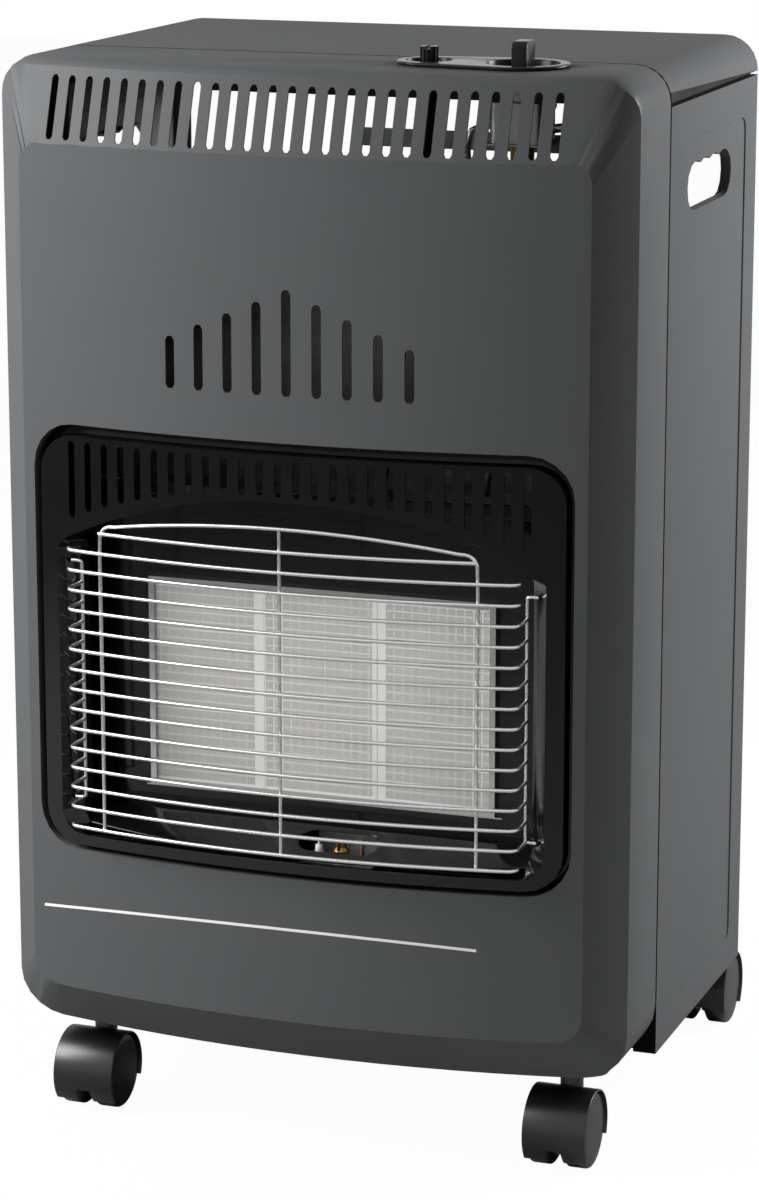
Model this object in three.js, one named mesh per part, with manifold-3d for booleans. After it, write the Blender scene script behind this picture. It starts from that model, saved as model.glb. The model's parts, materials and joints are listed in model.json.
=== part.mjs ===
// Portable gas cabinet heater with a bowed sheet-steel front, a three-plaque radiant burner behind a
// bright wire guard, an open bottle bay at the rear and four twin-wheel casters.
// Millimetres, +Z up, the front faces -Y and +X is on the right of someone who looks at the front.
// Inside the group Y = 0 is the foremost line of the bowed front and Z = 0 is the floor.
import * as THREE from "three";
import { mergeVertices } from "three/addons/utils/BufferGeometryUtils.js";
import Module from "manifold-3d";

const wasm = await Module();
wasm.setup();

// ---------- driving dimensions ----------
// General
const SHEET = 1.2; // wall of the pressed cabinet sheets
const SEAT = 0.3; // gap between two faces that rest on each other
const RUNNING = 0.5; // radial clearance of a shaft in its bore

// Cabinet
const CABINET_WIDTH = 420;
const CABINET_TOP = 703.5;
const CABINET_REAR = 330;
const BODY_BOTTOM = 63;
const FRONT_BOW = 22; // how far the front falls back from its centre to the side creases
const SIDE_BEVEL_WIDTH = 22;
const SIDE_BEVEL_DEPTH = 26;
const SHELL_RAISE = 4; // how much higher the front shell ends than the body
const BOTTOM_BEVEL_DEPTH = 27;
const BOTTOM_BEVEL_RISE = 32;
const BAND_DROP = 51.5; // from the top down to the crease under the vent band
const BAND_DEPTH = 16;
const BAND_CROWN = 5; // from the top down to the upper edge of the vent band
const CROWN_DEPTH = 34;
const TOP_CORNER = 23.5;
const BOTTOM_CORNER = 30;
const BAND_CORNER = 20; // corner of the vent band's upper edge
const FACE_TOP_CORNER = 12;
const FACE_BOTTOM_CORNER = 18;
const SEAM_Y = 115; // joint between the front panel and the rear of the cabinet
const SEAM_GAP = 2.4;
const SEAM_DEPTH = 4; // how far the edges behind a seam are set in
const RIM_FLANGE = 14;
const SIDE_DROP = 25.5; // from the top down to the seam between side panel and top cover
const REAR_FLANGE = 12;
const COVER_LIP = 14;
const COVER_APRON = 50; // the cover's rear edge hangs lower

// Vent slots
const VENT_MARGIN = 43;
const VENT_PITCH = 12.67;
const VENT_WIDTH = 5;
const VENT_RAISE = 2; // foot of a slot above the crease
const VENT_DROP = 9.7; // head of a slot below the top
const CHEVRON_COUNT = 9;
const CHEVRON_PITCH = 19.7;
const CHEVRON_WIDTH = 6.2;
const CHEVRON_RAISE = 29; // foot of the slots above the window
const CHEVRON_LENGTH = 67; // the middle slot
const CHEVRON_STEP = 8.3;

// Window in the front panel and the enamelled surround that fills it
const WINDOW_MARGIN = 30; // from the window to the cabinet's side
const WINDOW_BOTTOM = 194;
const WINDOW_TOP = 475;
const WINDOW_CORNER = 29;
const SURROUND_GAP_SIDE = 5;
const SURROUND_GAP_BOTTOM = 4;
const SURROUND_GAP_TOP = 7.5;
const SKIRT_DEPTH = 13.2;
const SURROUND_FLANGE = 12;
const SURROUND_BAR = 11.7;
const SURROUND_SILL = 7;
const LIP_DEPTH = 24;
const ARCH_DROP = 29.5; // arch below the upper edge of the surround
const ARCH_RADIUS = 352;
const ARCH_CORNER = 12; // where the arch meets the opening's sides
const LIP_TAPER = 11; // how far the opening's sides lean in behind the face
const GRILLE_MARGIN = 11;
const GRILLE_PITCH = 12.13;
const GRILLE_WIDTH = 4.6;
const GRILLE_DROP = 3;
const GRILLE_OVER_ARCH = 9; // web between a slot and the arch at the sides

// Firebox
const FIREBOX_BEHIND = 5; // rear wall behind the burner's face
const CEILING_RAISE = 2; // ceiling above the arch
const CEILING_DROP = 16; // fall of the sloped rear part of the ceiling
const CEILING_SLOPE_RUN = 18;
const FLOOR_RAISE = 13; // floor above the opening's sill
const FLOOR_SLOPE_RUN = 16; // flat rear part of the floor
const SKIRT_DROP = 10;
const PILOT_X = 22;
const PILOT_HOLE_LENGTH = 54;
const PILOT_HOLE_WIDTH = 20;

// Burner
const BURNER_INSET = 45.3; // from the side of the opening
const BURNER_RAISE = 12.5; // above the firebox floor
const BURNER_HEIGHT = 139.5;
const FRAME_FACE = 57;
const FRAME_SHEET = 1;
const FRAME_BORDER = 4;
const PLAQUE_COUNT = 3;
const PLAQUE_THICKNESS = 12;
const PLAQUE_JOINT = 0.4;
const PLENUM_SHEET = 1;
const PLENUM_BACK = 94;
const PLENUM_FLANGE = 10;
const LIP_ROLL = 13; // radius of the polished roll below the plaques
const MIXER_LENGTH = 58;
const MIXER_RADIUS = 10;
const MIXER_MOUTH = 14;
const MIXER_WALL = 1.2;
const MIXER_FORWARD = 15; // axis in front of the plenum's back
const INJECTOR_RADIUS = 4;

// Guard
const GUARD_PITCH = 13;
const GUARD_RAISE = 10; // lowest wire above the opening's sill
const GUARD_INSET = 12.8; // from the side of the opening
const GUARD_BOW = 16.8;
const GUARD_FRONT = -16.5; // centre line of the long wires at X = 0
const GUARD_WIRE = 1.5; // radius of the long wires
const GUARD_POST = 1.2; // radius of the upright wires
const GUARD_FRAME_INSET = 38;
const GUARD_ARCH_DROP = 14; // below the arch of the opening
const GUARD_ARCH_RISE = 11;
const GUARD_RETURN = 23; // Y of the upright wires behind the ends
const GUARD_RETURN_INSET = 13.8;
const HOOK_DROP = 12.8; // upper hooks below the ends of the arch
const HOOK_RAISE = 12.5; // lower hooks above the lowest wire

// Controls on the top
const CONTROL_FORWARD = 38; // in front of the seam
const BEZEL_LEFT_X = 70;
const BEZEL_LEFT_RADIUS = 24;
const BEZEL_RIGHT_X = 123;
const BEZEL_RIGHT_RADIUS = 32.5;
const BEZEL_RAISE = 2.5;
const BEZEL_WALL = 1.6;
const BEZEL_DEPTH = 6.4;
const KNOB_X = 126.5;
const KNOB_RECESS = 23;
const KNOB_RADIUS = 14.5;
const KNOB_SINK = 2.5; // disc below the cabinet's top
const KNOB_SKIRT = 7;
const KNOB_TRAVEL = 4;
const BLADE_WIDTH = 9.8;
const BLADE_LENGTH = 18;
const KNOB_RISE = 16; // blade above the cabinet's top
const BLADE_ROUND = 4.5; // rounding of the blade's front edge
const BUTTON_X = 66;
const BUTTON_RECESS = 14.5;
const BUTTON_RADIUS = 5.8;
const BUTTON_RISE = 10.8;
const BUTTON_TRAVEL = 5;
const BUTTON_RIBS = 12;
const RIB_DEPTH = 0.6;
const NOTCH_WIDTH = 3.6;
const NOTCH_DEPTH = 1.8;
const SPINDLE_RADIUS = 4;

// Valve and igniter
const VALVE_WIDTH = 34;
const VALVE_DROP = 45.5; // valve's underside below the cabinet's top
const VALVE_HEIGHT = 25;
const VALVE_NECK = 8;
const PUSH_ROD_RADIUS = 1.5;
const MAGNET_RADIUS = 7.5;
const MAGNET_LENGTH = 30;
const RAIL_SETBACK = 3; // behind the seam
const RAIL_HEIGHT = 11.5;
const RAIL_SHEET = 1.5;
const RAIL_LEFT = 0;
const PIEZO_RADIUS = 7;
const PIEZO_DROP = 63.5;
const PIEZO_COLLAR = 10;
const HOSE_RADIUS = 4.5;
const HOSE_RUN = 44;
const HOSE_RIBS = 4;

// Floor pan, heat shield and casters
const PAN_SHEET = 2.2;
const PAN_LIP = 15;
const PAN_FRONT = 58;
const PAN_FRONT_INSET = 18;
const TRAY_OVERHANG = 55; // how far the tray reaches out behind the cabinet
const TRAY_INSET = 20;
const TRAY_CORNER = 30;
const SHIELD_SETBACK = 9; // behind the seam
const SHIELD_DROP = 103.5;
const SHIELD_FLANGE = 20;
const FRONT_CASTER_INSET = 46; // from the cabinet's side
const FRONT_CASTER_SETBACK = 24; // from the pan's front edge
const REAR_CASTER_INSET = 33;
const REAR_CASTER_FORWARD = 33.5; // from the tray's rear edge
const WHEEL_RADIUS = 25;
const WHEEL_WIDTH = 17;
const TREAD_BEVEL = 3; // chamfer on the edge towards the other wheel
const TREAD_BEVEL_DEPTH = 5;
const TREAD_ROUND = 2;
const WHEEL_DISH = 1;
const HUB_WALL = 2;
const CASTER_TRAIL = 15;
const HOOD_WEB = 6;
const HOOD_WALL = 1.2;
const HOOD_CLEARANCE = 0.5;
const HOOD_LOW = 8.5; // lower edge of the hood on the wheels' side of the stem
const HOOD_LIFT = 6; // how much higher the edge is on the stem's side
const HOOD_NOTCH = 17;
const AXLE_RADIUS = 3;
const STEM_RADIUS = 5;
const COLLAR_RADIUS = 7.5;
const SOCKET_WALL = 2;
const SOCKET_HEIGHT = 26;

// Side panel press work
const HAND_HOLE_SETBACK = 46; // behind the seam
const HAND_HOLE_LENGTH = 107;
const HAND_HOLE_DROP = 97; // lower edge below the cabinet's top
const HAND_HOLE_HEIGHT = 31;
const HAND_HOLE_LIP = 7;
const HAND_SCALLOPS = 4;
const HAND_SCALLOP_DEPTH = 2.2;
const FIELD_SETBACK = 38; // behind the seam
const FIELD_REAR_MARGIN = 28.5;
const FIELD_RAISE = 21; // above the body's lower edge
const FIELD_DROP = 50.5;
const FIELD_CORNER = 9;
const FIELD_STEP = 1;

// Flange screws
const SCREW_RADIUS = 2;
const SCREW_HEAD = 4;
const SCREW_LENGTH = 9;
const SCREW_HEIGHTS = [160, 560];

// Pipes and leads
const GAS_TUBE = 3;
const PILOT_TUBE = 2;
const LEAD = 1.5;

// ---------- values worked out from the dimensions above ----------
// Cabinet
const HALF = CABINET_WIDTH / 2;
const CREASE_HALF = HALF - SIDE_BEVEL_WIDTH;
// Depth of the bowed front behind its centre line at a given X.
const bow = (x) => FRONT_BOW * (x / CREASE_HALF) ** 2;
const SHELL_BOTTOM = BODY_BOTTOM + SHELL_RAISE;
const BAND_START = CABINET_TOP - BAND_DROP;
const BAND_END = CABINET_TOP - BAND_CROWN;
const SIDE_TOP = CABINET_TOP - SIDE_DROP;
const CROWN_CORNER = Math.min(TOP_CORNER, SIDE_DROP - SEAM_GAP - SEAT); // ends above the side seam
const BOTTOM_CORNER_X = HALF - BOTTOM_CORNER;
const SHELL_END = SEAM_Y - SEAM_GAP / 2;
const BODY_START = SEAM_Y + SEAM_GAP / 2;
const INNER_HALF = HALF - SHEET;
const HAND_HOLE_FRONT = SEAM_Y + HAND_HOLE_SETBACK;
const HAND_HOLE_BOTTOM = CABINET_TOP - HAND_HOLE_DROP;
const FIELD_FRONT = SEAM_Y + FIELD_SETBACK;
const FIELD_REAR = CABINET_REAR - FIELD_REAR_MARGIN;
const FIELD_BOTTOM = BODY_BOTTOM + FIELD_RAISE;
const FIELD_TOP = CABINET_TOP - FIELD_DROP;
// Slots
const VENT_COUNT = 1 + Math.floor((2 * (HALF - VENT_MARGIN)) / VENT_PITCH);
const VENT_BOTTOM = BAND_START + VENT_RAISE;
const VENT_TOP = CABINET_TOP - VENT_DROP;
const CHEVRON_BOTTOM = WINDOW_TOP + CHEVRON_RAISE;
const CHEVRON_PEAK = CHEVRON_BOTTOM + CHEVRON_LENGTH;
// Window and surround
const WINDOW_HALF = HALF - WINDOW_MARGIN;
const SURROUND_HALF = WINDOW_HALF - SURROUND_GAP_SIDE;
const SURROUND_BOTTOM = WINDOW_BOTTOM + SURROUND_GAP_BOTTOM;
const SURROUND_TOP = WINDOW_TOP - SURROUND_GAP_TOP;
const OPENING_HALF = SURROUND_HALF - SURROUND_BAR;
const OPENING_BOTTOM = SURROUND_BOTTOM + SURROUND_SILL;
const ARCH_TOP = SURROUND_TOP - ARCH_DROP;
const ARCH_CENTRE = ARCH_TOP - ARCH_RADIUS;
const archHeight = (x) => ARCH_CENTRE + Math.sqrt(ARCH_RADIUS ** 2 - x ** 2);
const ARCH_SPRING = archHeight(OPENING_HALF);
const GRILLE_COUNT = 1 + Math.floor((2 * (OPENING_HALF - GRILLE_MARGIN)) / GRILLE_PITCH);
const GRILLE_TOP = SURROUND_TOP - GRILLE_DROP;
// Firebox and burner
const FIREBOX_HALF = OPENING_HALF + SHEET + SEAT;
const FIREBOX_BACK = FRAME_FACE + FIREBOX_BEHIND;
const FIREBOX_CEILING = ARCH_TOP + CEILING_RAISE;
const FIREBOX_BACK_TOP = FIREBOX_CEILING - CEILING_DROP;
const CEILING_SLOPE_START = FIREBOX_BACK - CEILING_SLOPE_RUN;
const FIREBOX_FLOOR = OPENING_BOTTOM + FLOOR_RAISE;
const FLOOR_SLOPE_END = FIREBOX_BACK - FLOOR_SLOPE_RUN;
const SKIRT_BOTTOM = OPENING_BOTTOM - SKIRT_DROP;
const BURNER_HALF = OPENING_HALF - BURNER_INSET;
const BURNER_BOTTOM = FIREBOX_FLOOR + BURNER_RAISE;
const BURNER_TOP = BURNER_BOTTOM + BURNER_HEIGHT;
const BURNER_MID = (BURNER_BOTTOM + BURNER_TOP) / 2;
const PLENUM_HALF = BURNER_HALF - FRAME_SHEET - SEAT;
const PLENUM_LOW = BURNER_BOTTOM + FRAME_SHEET + SEAT;
const PLENUM_HIGH = BURNER_TOP - FRAME_SHEET - SEAT;
const PLAQUE_FRONT = FRAME_FACE + FRAME_SHEET + SEAT;
const MIXER_Y = PLENUM_BACK - MIXER_FORWARD;
const MIXER_Z = BURNER_MID;
// Guard
const GUARD_BOTTOM = OPENING_BOTTOM + GUARD_RAISE;
const GUARD_HALF = OPENING_HALF - GUARD_INSET;
const GUARD_FRAME_HALF = OPENING_HALF - GUARD_FRAME_INSET;
const GUARD_RETURN_HALF = OPENING_HALF - GUARD_RETURN_INSET;
const GUARD_ARCH_TOP = ARCH_TOP - GUARD_ARCH_DROP;
const GUARD_ARCH_SHOULDER = GUARD_ARCH_TOP - GUARD_ARCH_RISE;
const GUARD_COUNT = Math.floor((GUARD_ARCH_SHOULDER - GUARD_BOTTOM) / GUARD_PITCH);
const GUARD_HOOK_TOP = ARCH_SPRING - HOOK_DROP;
const GUARD_HOOK_BOTTOM = GUARD_BOTTOM + HOOK_RAISE;
const HOOK_END = OPENING_HALF - GUARD_RETURN + bow(GUARD_RETURN_HALF) + 2 * SHEET; // just through the lip
// Controls and valve
const CONTROL_Y = SEAM_Y - CONTROL_FORWARD;
const BEZEL_TOP = CABINET_TOP + BEZEL_RAISE;
const RECESS_FLOOR = BEZEL_TOP - BEZEL_DEPTH;
const KNOB_DISC_TOP = CABINET_TOP - KNOB_SINK;
const KNOB_TOP = CABINET_TOP + KNOB_RISE;
const BUTTON_TOP = CABINET_TOP + BUTTON_RISE;
const PIEZO_BOTTOM = CABINET_TOP - PIEZO_DROP;
const VALVE_BOTTOM = CABINET_TOP - VALVE_DROP;
const VALVE_TOP = VALVE_BOTTOM + VALVE_HEIGHT;
const VALVE_REAR = CONTROL_Y + VALVE_WIDTH / 2;
const RAIL_Y = SEAM_Y + RAIL_SETBACK;
const RAIL_TOP = VALVE_BOTTOM - SEAT;
// Floor pan, heat shield and casters
const PAN_BOTTOM = BODY_BOTTOM + SHEET + SEAT;
const PAN_TOP = PAN_BOTTOM + PAN_SHEET;
const PAN_FRONT_HALF = HALF - PAN_FRONT_INSET;
const TRAY_HALF = HALF - TRAY_INSET;
const TRAY_REAR = CABINET_REAR + TRAY_OVERHANG;
const SHIELD_Y = SEAM_Y + SHIELD_SETBACK;
const SHIELD_TOP = CABINET_TOP - SHIELD_DROP;
const FRONT_CASTER_X = HALF - FRONT_CASTER_INSET;
const FRONT_CASTER_Y = PAN_FRONT + FRONT_CASTER_SETBACK;
const REAR_CASTER_X = HALF - REAR_CASTER_INSET;
const REAR_CASTER_Y = TRAY_REAR - REAR_CASTER_FORWARD;
const WHEEL_OFFSET = HOOD_WEB / 2 + SEAT + WHEEL_WIDTH / 2;
const HOOD_RADIUS = WHEEL_RADIUS + HOOD_CLEARANCE + HOOD_WALL;
const HOOD_TOP = WHEEL_RADIUS + HOOD_RADIUS;

// ---------- finishes ----------
const finish = (color, roughness, metalness) =>
  new THREE.MeshStandardMaterial({ color, roughness, metalness });
const ANTHRACITE = finish(0x5b5c5e, 0.45, 0.3);
const ENAMEL = finish(0x1b1b1c, 0.2, 0.1);
const PLATED = finish(0xd8d8d6, 0.2, 1);
const POLISHED = finish(0xb9b9b7, 0.15, 1);
const CERAMIC = finish(0xe9e4da, 0.9, 0);
const GALVANISED = finish(0x9a9c9d, 0.5, 0.9);
const BRASS = finish(0xb08d4a, 0.35, 1);
const ALUMINIUM = finish(0xa9abac, 0.4, 1);
const BLACK_PLASTIC = finish(0x1e1e1f, 0.4, 0);
const PORCELAIN = finish(0xf1efe8, 0.3, 0);
const COPPER = finish(0xa8653f, 0.35, 1);
const RUBBER = finish(0x161617, 0.8, 0);

// ---------- solids ----------
// A closed three.js geometry as a solid, with its shared vertices merged.
function solid(geometry) {
  const bare = geometry.index ? geometry.toNonIndexed() : geometry.clone();
  bare.deleteAttribute("normal");
  bare.deleteAttribute("uv");
  const merged = mergeVertices(bare, 1e-4);
  return new wasm.Manifold(
    new wasm.Mesh({
      numProp: 3,
      vertProperties: new Float32Array(merged.attributes.position.array),
      triVerts: new Uint32Array(merged.index.array),
    }),
  );
}

const join = (first, ...rest) => rest.reduce((sum, s) => sum.add(s), first);
const cut = (first, ...rest) => rest.reduce((left, s) => left.subtract(s), first);
const common = (first, ...rest) => rest.reduce((both, s) => both.intersect(s), first);

function mesh(name, body, material) {
  const data = body.getMesh();
  const geometry = new THREE.BufferGeometry();
  const positions = new Float32Array(data.numVert * 3);
  for (let i = 0; i < data.numVert; i++)
    for (let k = 0; k < 3; k++) positions[3 * i + k] = data.vertProperties[data.numProp * i + k];
  geometry.setAttribute("position", new THREE.BufferAttribute(positions, 3));
  geometry.setIndex(new THREE.BufferAttribute(new Uint32Array(data.triVerts), 1));
  geometry.computeVertexNormals();
  const made = new THREE.Mesh(geometry, material);
  made.name = name;
  return made;
}

// ---------- outlines: lists of [a, b] points, anticlockwise ----------
function anticlockwise(points) {
  const area = points.reduce((sum, [a, b], i) => {
    const [c, d] = points[(i + 1) % points.length];
    return sum + a * d - c * b;
  }, 0);
  return area < 0 ? [...points].reverse() : points;
}

// Corners given as [a, b, radius]; each radius becomes an arc of the given steps.
function rounded(corners, steps = 4) {
  const points = [];
  corners.forEach(([a, b, radius = 0], i) => {
    if (!radius) {
      points.push([a, b]);
      return;
    }
    const [pa, pb] = corners[(i + corners.length - 1) % corners.length];
    const [na, nb] = corners[(i + 1) % corners.length];
    const here = new THREE.Vector2(a, b);
    const back = new THREE.Vector2(pa, pb).sub(here).normalize();
    const ahead = new THREE.Vector2(na, nb).sub(here).normalize();
    const half = Math.acos(THREE.MathUtils.clamp(back.dot(ahead), -1, 1)) / 2;
    const reach = radius / Math.tan(half);
    const middle = back.clone().add(ahead).normalize();
    const centre = here.clone().addScaledVector(middle, radius / Math.sin(half));
    const start = here.clone().addScaledVector(back, reach).sub(centre);
    const end = here.clone().addScaledVector(ahead, reach).sub(centre);
    const from = Math.atan2(start.y, start.x);
    let turn = Math.atan2(end.y, end.x) - from;
    if (turn > Math.PI) turn -= 2 * Math.PI;
    if (turn < -Math.PI) turn += 2 * Math.PI;
    for (let k = 0; k <= steps; k++) {
      const angle = from + (turn * k) / steps;
      points.push([centre.x + radius * Math.cos(angle), centre.y + radius * Math.sin(angle)]);
    }
  });
  return anticlockwise(points);
}

const box2 = (a0, b0, a1, b1, radius = 0, steps = 4) =>
  rounded([[a0, b0, radius], [a1, b0, radius], [a1, b1, radius], [a0, b1, radius]], steps);

// Points on a circle's arc from one angle to another, in degrees.
const arc = (a, b, radius, from, to, steps) =>
  Array.from({ length: steps + 1 }, (_, k) => {
    const angle = THREE.MathUtils.degToRad(from + ((to - from) * k) / steps);
    return [a + radius * Math.cos(angle), b + radius * Math.sin(angle)];
  });

// A slot outline with half-round ends, long in whichever direction is the greater.
function stadium(a, b, length, width, steps = 8) {
  const run = Math.abs(length - width) / 2;
  const r = Math.min(length, width) / 2;
  return length > width
    ? [...arc(a + run, b, r, -90, 90, steps), ...arc(a - run, b, r, 90, 270, steps)]
    : [...arc(a, b + run, r, 0, 180, steps), ...arc(a, b - run, r, 180, 360, steps)];
}

// The outline round two circles that stand side by side.
function eggOutline(x0, r0, x1, r1, b, steps) {
  const lean = THREE.MathUtils.radToDeg(Math.asin((r1 - r0) / (x1 - x0)));
  const half = 90 + lean;
  return [...arc(x1, b, r1, -half, half, steps), ...arc(x0, b, r0, half, 360 - half, steps)];
}

// Grows an anticlockwise outline by a distance, or shrinks it where the distance is negative.
function grown(points, distance) {
  return points.map(([a, b], i) => {
    const [pa, pb] = points[(i + points.length - 1) % points.length];
    const [na, nb] = points[(i + 1) % points.length];
    const before = new THREE.Vector2(b - pb, pa - a).normalize();
    const after = new THREE.Vector2(nb - b, a - na).normalize();
    const push = before.clone().add(after).multiplyScalar(distance / (1 + before.dot(after)));
    return [a + push.x, b + push.y];
  });
}

// ---------- basic bodies ----------
// An outline extruded along one axis. The outline's axes are XY for "z", XZ for "y" and YZ for "x".
function prism(axis, points, from, to) {
  const shape = new THREE.Shape(points.map(([a, b]) => new THREE.Vector2(a, b)));
  const geometry = new THREE.ExtrudeGeometry(shape, { depth: to - from, bevelEnabled: false });
  const x = new THREE.Vector3(1, 0, 0);
  const y = new THREE.Vector3(0, 1, 0);
  const z = new THREE.Vector3(0, 0, 1);
  const turn = new THREE.Matrix4();
  if (axis === "y") turn.makeBasis(x, z, y.clone().negate()).setPosition(0, to, 0);
  if (axis === "x") turn.makeBasis(y, z, x).setPosition(from, 0, 0);
  if (axis === "z") turn.setPosition(0, 0, from);
  return solid(geometry.applyMatrix4(turn));
}

const block = (x0, y0, z0, x1, y1, z1) => prism("z", box2(x0, y0, x1, y1), z0, z1);

// A profile of [radius, height] points turned about an axis through a point.
function lathe(axis, centre, profile, sides = 24) {
  const points = profile.map(([r, h]) => new THREE.Vector2(Math.max(r, 0), h));
  const geometry = new THREE.LatheGeometry([...points, points[0].clone()], sides);
  if (axis === "z") geometry.rotateX(Math.PI / 2);
  if (axis === "x") geometry.rotateZ(-Math.PI / 2);
  geometry.translate(...centre);
  const made = solid(geometry);
  return made.volume() < 0 ? solid(flipped(geometry)) : made;
}

function flipped(geometry) {
  const turned = geometry.toNonIndexed();
  const p = turned.attributes.position;
  for (let i = 0; i < p.count; i += 3) {
    const a = new THREE.Vector3().fromBufferAttribute(p, i);
    const b = new THREE.Vector3().fromBufferAttribute(p, i + 1);
    p.setXYZ(i, b.x, b.y, b.z);
    p.setXYZ(i + 1, a.x, a.y, a.z);
  }
  return turned;
}

// A round bar along an axis from one height to another.
function bar(axis, centre, radius, from, to, sides = 24) {
  const geometry = new THREE.CylinderGeometry(radius, radius, to - from, sides);
  geometry.translate(0, (from + to) / 2, 0);
  if (axis === "z") geometry.rotateX(Math.PI / 2);
  if (axis === "x") geometry.rotateZ(-Math.PI / 2);
  geometry.translate(...centre);
  return solid(geometry);
}

// A tube or wire that follows points with smooth bends, in the same number of steps between each pair.
function wire(points, radius, sides = 8, perSpan = 3) {
  const stops = points.map((p) => new THREE.Vector3(...p));
  const path = new THREE.CatmullRomCurve3(stops, false, "catmullrom", 0.5);
  path.getPointAt = (t, target) => path.getPoint(t, target);
  path.getTangentAt = (t, target) => path.getTangent(t, target);
  const steps = (points.length - 1) * perSpan;
  const ring = Array.from({ length: sides }, (_, i) => {
    const angle = (2 * Math.PI * (i + 0.5)) / sides;
    return new THREE.Vector2(radius * Math.cos(angle), radius * Math.sin(angle));
  });
  return solid(new THREE.ExtrudeGeometry(new THREE.Shape(ring), { steps, extrudePath: path }));
}

// A profile of [depth, Z] points swept across the width, each station set back by the front's bow.
function bowed(profile, half, stations = 16) {
  const outline = anticlockwise(profile);
  const count = outline.length;
  const positions = [];
  for (let s = 0; s <= stations; s++) {
    const x = -half + (2 * half * s) / stations;
    for (const [depth, z] of outline) positions.push(x, depth + bow(x), z);
  }
  const index = [];
  for (let s = 0; s < stations; s++)
    for (let i = 0; i < count; i++) {
      const a = s * count + i;
      const b = s * count + ((i + 1) % count);
      index.push(a, b, b + count, a, b + count, a + count);
    }
  const caps = THREE.ShapeUtils.triangulateShape(
    outline.map(([d, z]) => new THREE.Vector2(d, z)), []);
  const last = stations * count;
  for (const [a, b, c] of caps) {
    index.push(a, c, b);
    index.push(last + a, last + b, last + c);
  }
  const geometry = new THREE.BufferGeometry();
  geometry.setAttribute("position", new THREE.Float32BufferAttribute(positions, 3));
  geometry.setIndex(index);
  return solid(geometry);
}

// A body skinned over loops of equally many points, closed at both ends, or round again to the first loop.
function lofted(loops, closed = false) {
  const count = loops[0].length;
  const index = [];
  for (let k = 0; k < (closed ? loops.length : loops.length - 1); k++)
    for (let i = 0; i < count; i++) {
      const a = k * count + i;
      const b = k * count + ((i + 1) % count);
      const next = (((k + 1) % loops.length) - k) * count;
      index.push(a, b, b + next, a, b + next, a + next);
    }
  if (!closed) {
    const flat = loops[0].map(([x, , z]) => new THREE.Vector2(x, z));
    const last = (loops.length - 1) * count;
    for (const [a, b, c] of THREE.ShapeUtils.triangulateShape(flat, [])) {
      index.push(a, c, b);
      index.push(last + a, last + b, last + c);
    }
  }
  const geometry = new THREE.BufferGeometry();
  geometry.setAttribute("position", new THREE.Float32BufferAttribute(loops.flat(2), 3));
  geometry.setIndex(index);
  const made = solid(geometry);
  return made.volume() < 0 ? solid(flipped(geometry)) : made;
}

// A plate that follows the bow between two depths, cut to an XZ outline.
const bowedPlate = (outline, near, far) =>
  common(
    prism("y", outline, near - 5, far + FRONT_BOW + 20),
    bowed([[near, 0], [far, 0], [far, CABINET_TOP], [near, CABINET_TOP]], HALF));

// ---------- front panel ----------
const shellOutline = () =>
  rounded([
    [-HALF, SHELL_BOTTOM, BOTTOM_CORNER],
    [HALF, SHELL_BOTTOM, BOTTOM_CORNER],
    [HALF, CABINET_TOP, CROWN_CORNER],
    [-HALF, CABINET_TOP, CROWN_CORNER],
  ], 5);

// One side of the front as [depth behind the bow, distance from the middle] points, drawn in by an inset:
// the bevel carried on in front of the face, its outer edge, the rounding behind it and the wall's two ends.
const BEVEL_LEAD = 1.2; // in bevel widths
const CROWN_STEPS = [Math.PI / 6, Math.PI / 3]; // the rounding between a bevel's edge and the wall

function sideProfile(crease, edge, wall, inset) {
  const start = crease.map((value, i) => value - BEVEL_LEAD * (edge[i] - value));
  const end = [SEAM_Y * 2, wall[1]];
  const round = CROWN_STEPS.map((turn) =>
    [wall[0] - (wall[0] - edge[0]) * Math.cos(turn), edge[1] + (wall[1] - edge[1]) * Math.sin(turn)]);
  return grown([[start[0], 0], [end[0], 0], end, wall, ...round.reverse(), edge, start], -inset)
    .slice(2).reverse();
}

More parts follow.
